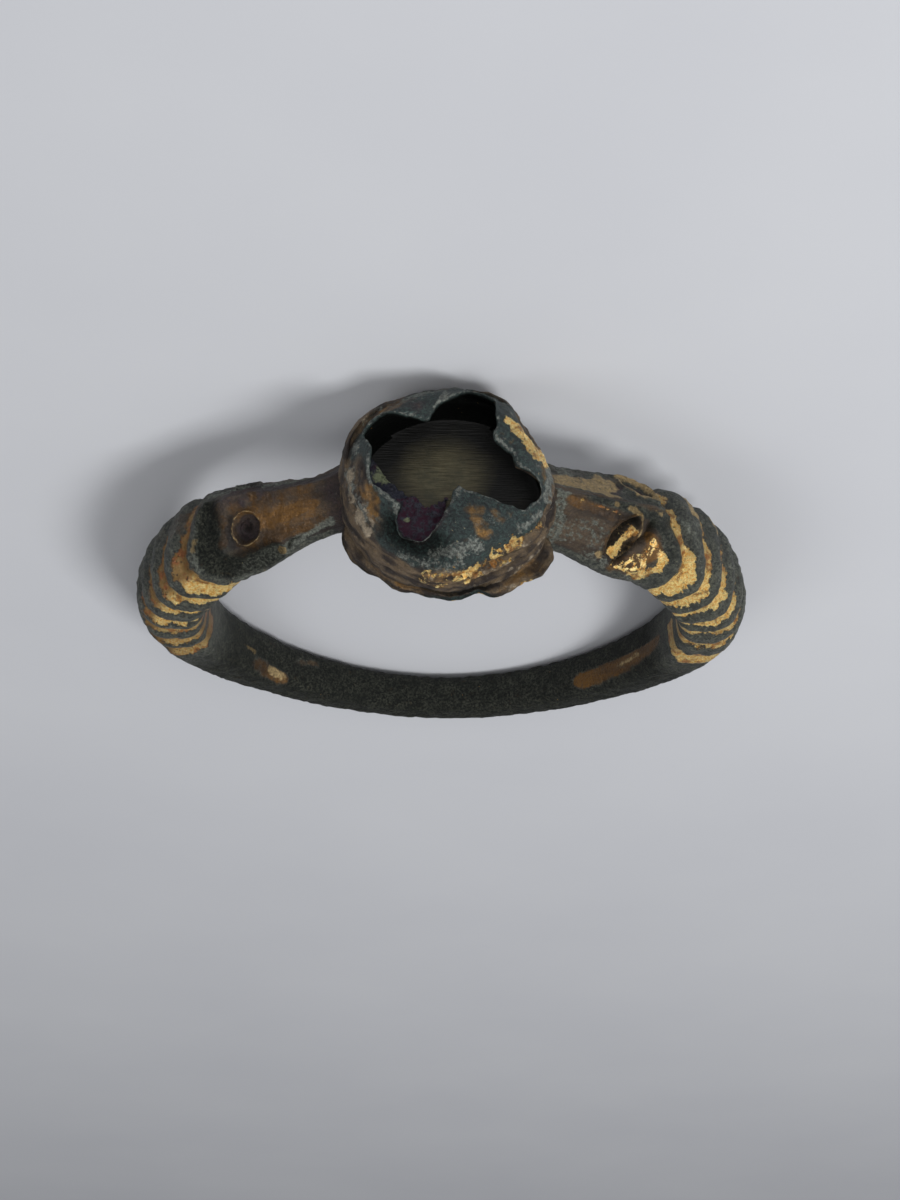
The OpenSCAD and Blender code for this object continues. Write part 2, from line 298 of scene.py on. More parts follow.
# %% Spin the hoop
STEPS = 660
AROUND = 144
SWEEP = 360 - RIGHT_SNOUT - LEFT_SNOUT
SPIN_R = HOLE_R + 1
STEP_SHARE = (0, 0.37, 0.63, 1)
STEP_ANGLE = (RIGHT_SNOUT, 106, 254, 360 - LEFT_SNOUT)

hoop_mesh = bpy.data.meshes.new("hoop_and_heads")
bm = bmesh.new()
bmesh.ops.create_circle(bm, segments=AROUND, radius=0.5)
section_turn = Matrix.Rotation(math.radians(-90), 3, "Y")
snout_turn = Matrix.Rotation(math.radians(RIGHT_SNOUT), 3, "Y")
bmesh.ops.rotate(bm, verts=bm.verts, cent=(0, 0, 0), matrix=section_turn)
bmesh.ops.translate(bm, verts=bm.verts, vec=(0, 0, SPIN_R))
bmesh.ops.rotate(bm, verts=bm.verts, cent=(0, 0, 0), matrix=snout_turn)
bmesh.ops.spin(bm, geom=bm.verts[:] + bm.edges[:], cent=(0, 0, 0), axis=(0, 1, 0),
               angle=math.radians(SWEEP), steps=STEPS, use_merge=False, use_duplicate=False)
bmesh.ops.holes_fill(bm, edges=[e for e in bm.edges if e.is_boundary], sides=0)
bmesh.ops.recalc_face_normals(bm, faces=bm.faces)
bm.to_mesh(hoop_mesh)
bm.free()

plain = read(hoop_mesh, "co")
path = (np.degrees(np.arctan2(plain[:, 0], plain[:, 2])) - RIGHT_SNOUT + 1) % 360 - 1
path = np.interp(path / SWEEP, STEP_SHARE, STEP_ANGLE)
side = np.where(path < 180, 1, -1)
angle = np.where(path < 180, path, 360 - path)
share = np.arctan2(plain[:, 1], np.hypot(plain[:, 0], plain[:, 2]) - SPIN_R) / (2 * math.pi) % 1
ends = [round(float(end)) for end in (path.min(), path.max())]
print("spun hoop:", len(plain), "vertices, from", ends[0], "to", ends[1], "degrees")

# %% [markdown]
# A section of a head has six corners: the ridge, a back edge, two inner edges and the two edges of a
# chamfer under the front face. A section of a neck is round outside and squarer on the finger. Each
# vertex takes its place from a mix of both. Corners of an old casting are soft, and a Bevel modifier
# would leave flat bands, so the outline is averaged with itself a little before and after each point.

# %% Shape of the sections
CORNER_SHARE = (0, 0.275, 0.35, 0.45, 0.50, 0.575, 1)
CORNER_TURN = (0, 90, 124, 191, 212, 238, 360)
BACK_END, FRONT_START = CORNER_SHARE[1], CORNER_SHARE[5]
BACK_HIGH = 0.52
INNER_HIGH = 0.03
INNER_INSET = 0.22
CHAMFER_LOW = 0.16
CHAMFER_HIGH = 0.48
CHAMFER_ALONG = 0.82
CHAMFER_INSET = 0.1
OUTER_POWER = 0.85
SOFT_REACH = 0.016
SOFT_STEPS = np.linspace(-1, 1, 7)


def shoulder_column(column):
    """One column of the tables at every vertex of the hoop."""
    return np.where(side > 0, smooth_column(RIGHT_SHOULDER, column, angle),
                    smooth_column(LEFT_SHOULDER, column, angle))


thick, front_edge, back_edge, ridge, keel = map(shoulder_column, (THICK, FRONT, BACK, RIDGE, KEEL))
middle, half_width = (front_edge + back_edge) / 2, (back_edge - front_edge) / 2
chamfer_edge = ridge + CHAMFER_ALONG * (front_edge - ridge)


def outline(share):
    """Place along the finger and height over the hole, at a share of the way round the section."""
    share = share % 1
    along = np.array([ridge, back_edge, back_edge - INNER_INSET, front_edge + INNER_INSET,
                      front_edge + CHAMFER_INSET, chamfer_edge, ridge])
    high = np.array([thick, BACK_HIGH * thick, 0 * thick + INNER_HIGH, 0 * thick + INNER_HIGH,
                     CHAMFER_LOW * thick, CHAMFER_HIGH * thick, thick])
    corner = np.clip(np.searchsorted(CORNER_SHARE, share, "right") - 1, 0, 5)
    start, end = np.take(CORNER_SHARE, corner), np.take(CORNER_SHARE, corner + 1)
    t = (share - start) / (end - start)
    every = np.arange(len(share))
    turn = np.radians(np.interp(share, CORNER_SHARE, CORNER_TURN))
    across, out = np.sin(turn), np.cos(turn)
    square = np.where(out < 0, (across**4 + out**4) ** -0.25, 1)
    round_high = np.where(out < 0, out * square, np.abs(out) ** OUTER_POWER)
    rounded = np.array([middle + half_width * across * square, thick / 2 * (1 + round_high)])
    roofed = np.array([p[corner, every] * (1 - t) + p[corner + 1, every] * t for p in (along, high)])
    return rounded + (roofed - rounded) * keel


def softened(line, share, reach):
    """A line averaged with itself a little before and after each share of its length."""
    weights = np.exp(-2 * SOFT_STEPS**2)
    return sum(w * line(share + reach * s) for w, s in zip(weights, SOFT_STEPS)) / weights.sum()


along, high = softened(outline, share, SOFT_REACH)
around, radius = np.radians(angle), HOLE_R + high
write(hoop_mesh, np.stack([side * radius * np.sin(around), along, radius * np.cos(around)], 1))
print("hoop is", round(float(2 * radius.max()), 2), "mm across the necks")

# %% [markdown]
# The ribs of the necks are left standing between grooves. A Boolean would cut sharp, even grooves.
# Pushing the vertices in along their normals keeps one clean mesh, and lets every groove bend as
# those cut by hand do. Each row is a groove: its angle from the bezel where it crosses the crest and
# at five turns further down the front of the neck, and how wide the gold in it is.

# %% Grooves of the necks
TURNS = (0, 25, 55, 85, 115, 140)
RIGHT_GROOVES = (
    ((44.5, 47.5, 51.0, 52.0, 52.0, 50.5), 1.30),
    ((54.0, 55.7, 58.0, 58.7, 59.3, 57.5), 1.00),
    ((61.0, 62.4, 64.6, 65.2, 66.0, 64.0), 0.90),
    ((68.3, 69.6, 71.5, 72.7, 73.0, 70.5), 1.00),
    ((75.0, 76.5, 78.8, 79.7, 79.5, 76.5), 1.10),
    ((82.5, 84.0, 86.5, 88.0, 88.0, 85.5), 1.35),
    ((92.5, 94.0, 97.0, 98.0, 98.5, 96.0), 2.20))
LEFT_GROOVES = (
    ((51.5, 53.4, 54.6, 54.3, 52.5, 47.5), 1.45),
    ((60.0, 61.3, 62.4, 61.7, 59.0, 55.5), 1.20),
    ((67.0, 68.3, 69.2, 69.0, 67.0, 63.0), 1.20),
    ((73.5, 74.7, 76.5, 77.2, 76.0, 72.5), 1.35),
    ((80.0, 81.3, 83.5, 84.3, 83.5, 80.5), 1.35),
    ((87.5, 89.0, 91.5, 92.0, 91.0, 88.5), 1.35),
    ((94.0, 96.0, 98.4, 98.6, 97.5, 95.5), 1.60))
GROOVE_DEPTH = 0.26
GROOVE_HALF = 3.2
GROOVE_FADE = 0.6
GROOVE_WANDER = 0.3
GOLD_FRAY = 0.9
GOLD_TURNS = (-120, -60, 0, 22, 50, 90, 115, 145)
GOLD_HALF = (0, 0.45, 0.75, 1.2, 1.75, 1.7, 1.5, 1.25)

base = read(hoop_mesh, "co")
turn_down = np.degrees(np.arctan2(middle - along, high - thick / 2))
wander = lumps(base, 2.5, 3, 1)
fray = lumps(base, 0.45, 4, 2)
bite = np.zeros(len(base))
band = np.zeros(len(base))
for table, which in ((RIGHT_GROOVES, 1), (LEFT_GROOVES, -1)):
    for places, gold_width in table:
        away = angle - np.interp(turn_down, TURNS, places) + GROOVE_WANDER * wander
        gold_half = np.interp(turn_down, GOLD_TURNS, GOLD_HALF) * gold_width
        gilt = ease(gold_half + GOLD_FRAY * fray - np.abs(away) + 0.5)
        bite = np.maximum(bite, (side == which) * bump(away / GROOVE_HALF))
        band = np.maximum(band, (side == which) * gilt)
bite = bite * ease(high / GROOVE_FADE)
relief = -GROOVE_DEPTH * bite
print("grooves:", len(RIGHT_GROOVES), "right,", len(LEFT_GROOVES), "left")

# %% [markdown]
# The eyes are the only features that still read as a face. The right one is a slanted almond with a
# thin lid, the left one a small ring. Both come from one measure: how far a point lies outside the
# outline of a lens. A loop cut and a bevel would do it on one face, but this works for both shapes,
# at any slant, and gives the masks for the materials as well.

# %% Eyes of the heads
DEGREE = (HOLE_R + 0.6 * NECK_T) * math.pi / 180
EYE_FRAY = 0.03
LID_SKIRT_HIGH = 0.3
LID_SKIRT_WIDE = 2.6
SOCKET_SLOPE = 0.16
ELSEWHERE = 9
# Eyes: angle, share down the face, half length, half width, slant, height of the lid, its half
# width, and depth of the socket
RIGHT_EYE = (35.7, 0.60, 0.95, 0.50, -70, 0.10, 0.09, 0.24)
FAR_EYE = (38.5, 0.55, 0.85, 0.40, -50, 0.09, 0.10, 0.12)
LEFT_EYE = (39.0, 0.56, 0.55, 0.54, 0, 0.11, 0.07, 0.13)
HIDDEN_EYE = (39.0, 0.50, 0.50, 0.49, 0, 0.08, 0.08, 0.08)
EYEBALL_HIGH = 0.16
PUPIL_HIGH = 0.05
on_front = share > FRONT_START
on_back = share < BACK_END
down = np.where(on_front, (1 - share) / (1 - FRONT_START), np.clip(share / BACK_END, 0, 1))
face_width = np.where(on_front, np.hypot(ridge - chamfer_edge, (1 - CHAMFER_HIGH) * thick),
                      np.hypot(back_edge - ridge, (1 - BACK_HIGH) * thick))


def lens(at_angle, at_down, half_long, half_wide, turn):
    """Distance outside a lens on a face, and the places along and across it, all in mm."""
    x, y = (angle - at_angle) * DEGREE, (down - at_down) * face_width
    c, s = math.cos(math.radians(turn)), math.sin(math.radians(turn))
    length, across = x * c + y * s, y * c - x * s
    offset = (half_long**2 - half_wide**2) / (2 * half_wide)
    return np.hypot(length, np.abs(across) + offset) - offset - half_wide, length, across


def eye(where, at_angle, at_down, half_long, half_wide, turn, lid, lid_half, sunk):
    """Relief of an eye on part of the hoop: a lid that stands out round a sunk middle."""
    distance, length, across = lens(at_angle, at_down, half_long, half_wide, turn)
    distance = distance + EYE_FRAY * fray
    raised = lid * bump(distance / lid_half)
    raised = raised + LID_SKIRT_HIGH * lid * bump(distance / (LID_SKIRT_WIDE * lid_half))
    sink = sunk * before(distance, -0.5 * lid_half, SOCKET_SLOPE)
    return np.where(where, raised - sink, 0), np.where(where, distance, ELSEWHERE), length, across


RIGHT_SIDE, LEFT_SIDE = side > 0, side < 0
right_eye, right_d, right_long, right_wide = eye(RIGHT_SIDE & on_front, *RIGHT_EYE)
far_eye, far_d = eye(RIGHT_SIDE & on_back, *FAR_EYE)[:2]
left_eye, left_d, left_long, left_wide = eye(LEFT_SIDE & on_front, *LEFT_EYE)
hidden_eye = eye(LEFT_SIDE & on_back, *HIDDEN_EYE)[0]
in_socket = before(right_d, -0.1, 0.1) * after(right_long, -0.5, 0.2)
eyeball = EYEBALL_HIGH * near(right_wide, 0.06, 0.2) * in_socket
left_middle = np.hypot(left_long, left_wide)
pupil = PUPIL_HIGH * near(left_middle, 0.24, 0.1) * (left_wide > -0.2) * (left_d < 0)
relief = relief + right_eye + far_eye + left_eye + hidden_eye + eyeball + pupil
print("eyelids stand out by", round(float(right_eye.max()), 2), "mm")

# %% [markdown]
# Round the eyes the face is modelled loosely: a hollow that curls round each cheek, a sharp collar
# where the neck begins, a domed temple, a crest along the ridge and a small square mark over the left
# eye. Each is a stroke drawn on the skin: a short list of places as an angle from the bezel and a
# turn down the section, with a width. The materials use the same strokes again.

# %% Cheeks, collars and crests
SECTION_R = 1.35
TURN_MM = SECTION_R * math.pi / 180


def from_stroke(which, places):
    """Distance in mm from a stroke through those places on one side of the ring."""
    points = [(a * DEGREE, t * TURN_MM) for a, t in places]
    return np.where(side == which, line_distance(angle * DEGREE, turn_down * TURN_MM, points), np.inf)


def stroke(which, places, half):
    """Relief of a stroke: 1 on its middle line, 0 at its edge."""
    return bump((from_stroke(which, places) + 0.04 * fray) / half)


LEFT_HOOK = ((45.6, -25), (46.0, 14), (47.3, 45), (47.5, 75), (45.5, 96), (41.5, 100), (36, 103))
left_hollow = stroke(-1, LEFT_HOOK, 0.42)
LEFT_COLLAR = ((46.7, -40), (47.8, 0), (49.2, 34), (50.2, 56), (50.7, 74))
left_collar = stroke(-1, (*LEFT_COLLAR, (50.4, 97)), 0.13)
right_hollow = stroke(1, ((40.8, 12), (40.3, 45), (38.4, 70), (36.8, 98)), 0.24)
temple = stroke(1, ((42.3, 8), (44.8, 34), (46.2, 52)), 0.52)
right_collar = stroke(1, ((47.0, 28), (48.3, 62), (48.6, 92)), 0.16)
far_hollow = stroke(1, ((43.3, -30), (43.5, -60), (42.5, -85)), 0.35)
crest = bump(np.minimum(share, 1 - share) / 0.022) * before(angle, 46, 4)
square_mark = LEFT_SIDE * near(angle, 38.3, 1.5) * near(turn_down, -20, 11)
# Each form with its height in mm
for height, form in ((-0.15, left_hollow), (0.08, left_collar), (-0.16, right_hollow), (0.08, temple),
                     (0.03, right_collar), (-0.12, far_hollow), (0.05 * RIGHT_SIDE + 0.02, crest),
                     (0.04, square_mark)):
    relief = relief + height * form
print("deepest hollow of necks and faces:", round(float(-relief.min()), 2), "mm")

# %% [markdown]
# Corrosion leaves a casting lumpy at every scale. Two layers of noise are added: broad waves over
# the whole hoop and small pits. Both are weaker on the finger side, which a finger has rubbed
# smooth. A short crack runs along the lower edge of the left snout. A Displace modifier could add
# the noise, but moving the vertices once adds all the relief together and spares the rubbed side.

# %% Worn surface of the hoop
RUBBED_TO = 0.25
WAVE_HIGH = 0.030
GRAIN_HIGH = 0.042
CRACK_DEPTH = 0.10
rubbed = 1 - ease(high / RUBBED_TO)
waves = WAVE_HIGH * lumps(base, 1.3, 3, 3)
grain = GRAIN_HIGH * lumps(base, 0.30, 4, 4) * (1 - 0.7 * rubbed)
crack = stroke(-1, ((33.0, 112), (31.4, 104), (29.4, 104)), 0.10)
relief = relief + waves * (1 - 0.6 * rubbed) + grain - CRACK_DEPTH * crack
write(hoop_mesh, base + read(hoop_mesh, "normal") * relief[:, None])
print("relief from", round(float(relief.min()), 2), "to", round(float(relief.max()), 2), "mm")

# %% [markdown]
# What is gilt, brown or pale follows the metal's history: gold leaf survives in the grooves and
# round the eye, and brown and grey crusts sit where dirt stayed. Painting by hand would need an
# image, so short tables hold the spots as strokes. Each row is a stroke: its side of the ring, its
# places, its half width in mm and how strong it is.

# %% Strokes of colour on the hoop
SOFT_EDGE = 0.22
STROKE_FRAY = 0.12
GOLD_STROKES = (
    (1, ((44.4, 98), (45.8, 82), (44.9, 64)), 0.17, 0.92),
    (1, ((42.0, 84), (43.4, 94)), 0.16, 0.8),
    (1, ((39.0, 103), (42.0, 103), (44.4, 104)), 0.10, 0.85),
    (1, ((37.0, 104), (40.5, 99), (42.5, 84)), 0.12, 0.60),
    (1, ((42.6, 58), (41.8, 44)), 0.10, 0.66),
    (1, ((38.5, 98), (41.2, 82), (42.3, 62)), 0.14, 0.50),
    (1, ((25.6, 13), (29.0, 14), (33.8, 17)), 0.07, 0.62),
    (-1, ((53.5, 108), (49.5, 116)), 0.20, 0.7))
AMBER_STROKES = (
    (1, ((37.5, 100), (42.0, 88), (43.0, 62), (41.6, 42)), 0.26, 0.85),
    (1, ((24.0, 18), (34.5, 24)), 0.26, 0.68),
    (1, ((107, 178), (116, 168), (124, 161), (139, 158)), 0.44, 0.90),
    (-1, ((34.6, 40), (30.0, 36), (26.5, 28)), 0.55, 1.0),
    (-1, ((35.6, 84), (31.0, 88), (26.5, 88)), 0.22, 0.85),
    (-1, ((43.0, 0), (44.2, 40), (44.8, 60)), 0.14, 0.6),
    (-1, ((41.8, 72), (40.0, 84), (37.6, 84)), 0.12, 0.6),
    (-1, ((35.6, -26), (35.9, -8)), 0.12, 0.9),
    (-1, ((124, 150), (128, 143), (133.5, 141)), 0.34, 0.80),
    (-1, ((139, -165), (144, -158)), 0.22, 0.55))
TAN_STROKES = (
    (1, ((22.5, -40), (29.5, -46), (31.5, -60)), 0.55, 0.72),
    (1, ((28.0, -25), (33.0, -23)), 0.14, 0.85),
    (1, ((43.8, -44), (42.8, -60)), 0.20, 0.9),
    (1, ((50.8, -38), (51.8, -76)), 0.32, 0.9),
    (1, ((58.2, -24), (57.4, -44)), 0.08, 0.7),
    (1, ((31.8, 3), (32.3, 4)), 0.04, 1.0),
    (1, ((35.0, 2), (36.8, 3)), 0.05, 1.0),
    (1, ((40.4, -8), (41.6, -5)), 0.06, 0.9),
    (1, ((32.3, 95), (32.9, 100)), 0.07, 0.8),
    (-1, ((34.2, 111), (35.0, 112)), 0.10, 1.0),
    (-1, ((129, 150), (133.5, 144)), 0.22, 0.7),
    (1, ((117, 167), (126, 161)), 0.16, 0.5),
    (-1, ((118, 177), (122, 174)), 0.14, 0.7),
    (-1, ((49.0, 26), (49.5, 38)), 0.05, 1.0))
GREY_STROKES = (
    (-1, ((46.0, 109), (39.0, 107), (33.0, 110), (27.0, 98), (22.5, 92)), 0.22, 0.85),
    (-1, LEFT_COLLAR, 0.06, 0.8),
    (-1, ((28.0, -75), (38.0, -66), (46.0, -60)), 0.30, 0.6),
    (1, ((22.0, 100), (22.0, 50), (21.5, 10)), 0.26, 0.66),
    (1, ((24.0, -80), (22.0, -20)), 0.30, 0.6),
    (1, ((31.0, 78), (25.5, 66)), 0.16, 0.5),
    (1, ((23.5, 84), (30.0, 58), (31.5, 92)), 0.50, 0.36),
    (1, ((44.5, -12), (47.6, -4), (48.2, 16)), 0.09, 0.8),
    (1, ((46.0, 112), (38.0, 106), (30.0, 100)), 0.12, 0.5))


def painted(table):
    """Mask of a table of strokes."""
    mask = np.zeros(len(angle))
    for which, places, half, amount in table:
        inside = ease(0.5 + (half + STROKE_FRAY * fray - from_stroke(which, places)) / SOFT_EDGE)
        mask = np.maximum(mask, amount * inside)
    return mask


amber_strokes = painted(AMBER_STROKES)
stroke_tables = (GOLD_STROKES, AMBER_STROKES, TAN_STROKES, GREY_STROKES)
print("strokes on the hoop:", sum(map(len, stroke_tables)))

# %% [markdown]
# The masks join those strokes to the same measures as the relief. Dull dims the leaf away from the front
# and more on the left side, as painted shade; deep says where the metal is black, from dark patina and from
# painted shade; and streak says how the browns vary along the hoop.

# %% Masks of the hoop
NECK_FROM, NECK_TO = 47, 104
# Leaf is least dull on the front, which the photo shows
# Painted shade: the leaf is dulled away from the front, and more so on the left side
facing = after(turn_down, 20, 35) * before(turn_down, 150, 20)
left_facing = after(turn_down, 60, 22) * before(turn_down, 145, 20)
dull = np.where(side > 0, 0.66 - 0.66 * facing * (1 - 0.8 * after(angle, 75, 5)),
                1 - left_facing * (0.8 - 0.5 * after(angle, 78, 6)))
# Leaf in the grooves, along its strokes and on a bar in the right eye
bar = near(right_wide, 0.19, 0.30) * before(right_d, -0.02, 0.06)
bar = bar * after(right_long, -1.0, 0.2) * before(right_long, 0.62, 0.2)
gold = strongest(band * (1 - 0.26 * dull), painted(GOLD_STROKES), 1.15 * bar)
gold = gold * (1 - 0.9 * right_hollow)
# Amber along its strokes, on the left face, in dull grooves and on the eyelids
left_face = LEFT_SIDE * after(angle, 20, 6) * before(angle, 43, 3) * after(turn_down, -32, 22)
left_face = left_face * before(turn_down, 100, 14)
broken = ease(0.65 + 1.2 * np.sin(np.radians(angle * 60 + turn_down * 2)))
lid_line = 0.8 * near(left_d, 0, 0.09) * broken
amber = strongest(amber_strokes, lid_line, 0.7 * near(right_d, 0, 0.1), 0.9 * band * dull, 0.60 * left_face)
left_socket = before(left_d, -0.08, 0.08)
amber = amber * (1 - left_hollow) * (1 - square_mark) * (1 - left_socket)
# Pale tan and grey crusts, the grey also on the ribs. The thin tan ring round the left eye's lid is a
# painted highlight
tan = strongest(painted(TAN_STROKES), 0.8 * near(far_d, -0.04, 0.16),
                0.6 * near(right_d, 0, 0.08) * (right_wide > 0), 0.52 * near(left_d, 0, 0.06))
rib = (1 - bite) * after(angle, NECK_FROM, 4) * before(angle, NECK_TO, 8) * ease(high - 0.3)
grey = np.maximum(painted(GREY_STROKES), 0.25 * rib)
# Brown mostly on the heads, and none where the skin is green
head = before(angle, NECK_FROM, 5)
brown = np.clip(0.95 * head + 0.25 * lumps(base, 2.2, 2, 5), 0, 1)
brown = np.maximum(brown, 0.6 * LEFT_SIDE * near(turn_down, -25, 42) * before(angle, 66, 8))
ridge_green = RIGHT_SIDE * near(turn_down, 1, 15) * after(angle, 24, 4) * before(angle, 48, 4)
far_green = stroke(1, ((36.5, -22), (39.5, -22), (44.5, -18), (46.0, -50)), 0.26)
far_side = RIGHT_SIDE * before(turn_down, -10, 8)
greened = left_hollow + 0.7 * far_side + 1.3 * temple + ridge_green + 1.3 * far_green
greened = greened + 0.8 * (high < 0.3 * thick)
brown = brown * (1 - np.clip(greened, 0, 1))
# Black in the eyes, partly dirt and partly painted shade, black in the hollows, and black on the plain hoop
# as painted shade
eye_pit = before(right_d, 0, 0.12) * (1 - np.clip(bar, 0, 1))
left_dark = ease((0.58 - from_stroke(-1, LEFT_HOOK)) / 0.3)
left_pit = near(left_middle, 0, 0.36) * (left_d < 0)
plain_hoop = after(angle, 98, 16)
deep = strongest(
    0.85 * left_dark, right_hollow, 0.95 * eye_pit, 0.3 * left_socket, 0.9 * left_pit, crack,
    0.45 * temple, 0.5 * far_hollow, 0.6 * near(right_d, 0.02, 0.06), 0.5 * ridge_green,
    0.80 * plain_hoop * (1 - amber_strokes))
# A violet film in eyes and marks and on the far side of the left head
violet = strongest(
    0.85 * square_mark, 0.66 * left_socket, 0.9 * before(far_d, -0.16, 0.08),
    0.85 * stroke(1, ((32.6, -34), (34.6, -60)), 0.24),
    0.6 * LEFT_SIDE * near(turn_down, -35, 34) * head, 0.55 * LEFT_SIDE * before(angle, 25, 5))
# Places squeezed along the hoop, so that the browns run in long streaks
along_hoop = np.stack([0.35 * DEGREE * angle, 1.6 * along, 1.6 * high + 5 * side], 1)
streak = 0.55 + 0.9 * lumps(along_hoop, 1.0, 4, 6) - 0.25 * LEFT_SIDE * head
hoop_masks = {"gold": gold, "amber": amber, "tan": tan, "grey": grey, "brown": brown, "deep": deep,
              "violet": violet, "dull": dull, "streak": streak}
for name, values in hoop_masks.items():
    mark(hoop_mesh, name, values)
print("gilt share of the hoop:", round(float((gold > 0.5).mean()), 3))

# %% [markdown]
# The bezel is a cup of thin sheet with a ragged foot, and its lip is pushed in and torn. A revolved
# profile with the Screw modifier would stay round. A sphere has the same closed skin as a cup, so
# its vertices are moved instead: the top of the sphere becomes the floor of the cup, its middle the
# torn edge, and its bottom the underside. Both poles stay closed, and the wall has a real thickness.

# %% Sizes of the bezel
CUP_AT = (0.23, -0.35)
WALL_R = 3.35
SHEET_T = 0.32
FOOT_Z = 8.45
FOOT_T = 0.3
FOOT_R = 3.38
BELLY_R = 3.45
BELLY_Z = 9.5
FLOOR_Z = 8.95
BEND_Z = 10.25
LIP_RISE = 1.05
LIP_WIDTH = 1.15
LIP_SINK = 0.25
SINK_FROM = 2.9
SINK_WIDTH = 1.6
# The torn edge of the lip: angle round the cup, and distance from its middle
TEAR = np.array([
    (-62, 0.60), (-46, 0.95), (-38, 1.70), (-33, 2.70), (-14, 2.95), (-5, 2.75), (2, 2.05),
    (36, 1.72), (52, 2.30), (64, 3.10), (76, 3.10), (92, 2.35), (113, 1.80), (127, 2.10),
    (136, 3.05), (150, 3.10), (168, 2.45), (194, 2.45), (210, 2.05), (222, 1.90), (229, 2.40),
    (238, 2.75), (253, 2.68), (261, 2.05), (267, 1.35), (282, 0.75), (298, 0.60)])
# Lobes of the foot and dents of the wall: middle, half width, how far they stand out
LOBES = ((212, 20, 0.34), (238, 13, 0.14), (268, 14, 0.06), (303, 15, 0.32), (325, 14, 0.58),
         (18, 16, 0.15), (95, 22, 0.12), (150, 18, 0.25))
DENTS = ((28, 34, -0.32), (62, 22, 0.14), (150, 42, 0.24), (303, 26, -0.24), (262, 24, 0.12))


def swell(table, theta, power):
    """Sum of the lobes or dents at every angle round the cup."""
    out = np.zeros(len(theta))
    for middle, half, height in table:
        x = np.clip(np.abs(turned(theta - middle)) / half, 0, 1)
        out = out + height * (1 - x**power) ** 2
    return out


def torn_edge(theta):
    """Distance of the torn edge from the middle of the cup at every angle."""
    at = np.where(theta % 360 > TEAR[-1, 0], theta % 360 - 360, theta % 360)
    row = np.clip(np.searchsorted(TEAR[:, 0], at) - 1, 0, len(TEAR) - 2)
    t = ease((at - TEAR[row, 0]) / (TEAR[row + 1, 0] - TEAR[row, 0]))
    return TEAR[row, 1] + (TEAR[row + 1, 1] - TEAR[row, 1]) * t

# %% [markdown]
# The profile runs from the middle of the floor up the inside, over the torn edge, down the outside
# and under the foot. It is a line with a few corners at each angle, softened as the hoop's section.
# A Solidify modifier could thicken a single skin, but its rim can cross itself where a tear is sharp.

# %% Shape of the bezel
SEGMENTS = 460
RINGS = 128
cup_mesh, ball = ball_mesh("bezel_cup", SEGMENTS, RINGS)
theta = np.degrees(np.arctan2(ball[:, 1], ball[:, 0])) % 360
skin = np.arccos(np.clip(ball[:, 2], -1, 1)) / math.pi


def ring_lumps(width, octaves, seed):
    """Rough noise that changes only round the cup."""
    every = np.radians(np.arange(SEGMENTS + 1) * 360 / SEGMENTS)
    circle = WALL_R * np.stack([np.cos(every), np.sin(every), 0 * every], 1)
    return np.interp(theta, np.degrees(every), lumps(circle, width, octaves, seed))


ragged = 0.05 * ring_lumps(0.9, 4, 11) + 0.02 * ring_lumps(0.25, 2, 12)
MOUTH_SOFT = 3.0
mouth = sum(torn_edge(theta + MOUTH_SOFT * s) for s in SOFT_STEPS) / len(SOFT_STEPS) + ragged
dent = swell(DENTS, theta, 2)
bend = WALL_R + dent
belly = BELLY_R + dent / 2
foot = FOOT_R + swell(LOBES, theta, 4) + 0.07 * ring_lumps(0.6, 4, 13)


def lip_z(r):
    """Height of the lip at a distance from the middle of the cup."""
    rise = np.sin(np.radians(90 * np.clip((WALL_R - r) / LIP_WIDTH, 0, 1)))
    return BEND_Z + LIP_RISE * rise - LIP_SINK * ease((SINK_FROM - r) / SINK_WIDTH)


LIP_STEPS = (0.15, 0.35, 0.55, 0.75, 0.9)
CORNER = 0.1
lip_start = bend - CORNER
lip_r = [lip_start + (mouth + 0.06 - lip_start) * s for s in LIP_STEPS]
inside = [(0 * theta, FLOOR_Z), (0.5 * belly, FLOOR_Z), (belly - SHEET_T - CORNER, FLOOR_Z),
          (belly - SHEET_T - 0.04, BELLY_Z), (bend - SHEET_T - CORNER, BEND_Z - CORNER)]
under_lip = [(r, lip_z(r) - SHEET_T) for r in lip_r]
edge = [(mouth + 0.05, lip_z(mouth) - 0.9 * SHEET_T), (mouth, lip_z(mouth) - SHEET_T / 2),
        (mouth + 0.05, lip_z(mouth) - 0.1 * SHEET_T)]
over_lip = [(r, lip_z(r)) for r in reversed(lip_r)]
outside = [(bend - 0.13, BEND_Z + 0.2), (bend + 0.02, BEND_Z - CORNER), (belly, BELLY_Z),
           (np.minimum(foot, BELLY_R) - CORNER, FOOT_Z + FOOT_T + 0.12),
           (foot - CORNER, FOOT_Z + FOOT_T),
           (foot, FOOT_Z + FOOT_T / 2), (foot - 0.08, FOOT_Z), (0.5 * foot, FOOT_Z), (0 * theta, FOOT_Z)]
profile = inside + under_lip + edge + over_lip + outside
profile_r = np.array([r + 0 * theta for r, z in profile])
profile_z = np.array([z + 0 * theta for r, z in profile])
# Where the corners of the profile lie along the skin: 0 is the middle of the floor, 0.42 the torn
# edge, 0.65 the bend, 0.87 the rim of the foot and 1 the middle of the underside
SKIN_SHARE = np.concatenate([
    (0, 0.08, 0.17, 0.21, 0.26), np.linspace(0.275, 0.375, 5), (0.395, 0.42, 0.445),
    np.linspace(0.47, 0.60, 5), (0.64, 0.67, 0.75, 0.81, 0.84, 0.87, 0.90, 0.95, 1)])
SKIN_REACH = 0.012
POLE = 1e-4


def cup_point(skin):
    """Distance from the axis and height of the cup's skin, at a share of the way along the profile."""
    skin = np.abs(1 - np.abs(1 - skin))
    corner = np.clip(np.searchsorted(SKIN_SHARE, skin, "right") - 1, 0, len(SKIN_SHARE) - 2)
    t = (skin - SKIN_SHARE[corner]) / (SKIN_SHARE[corner + 1] - SKIN_SHARE[corner])
    every = np.arange(len(skin))
    return np.array([p[corner, every] * (1 - t) + p[corner + 1, every] * t for p in (profile_r, profile_z)])


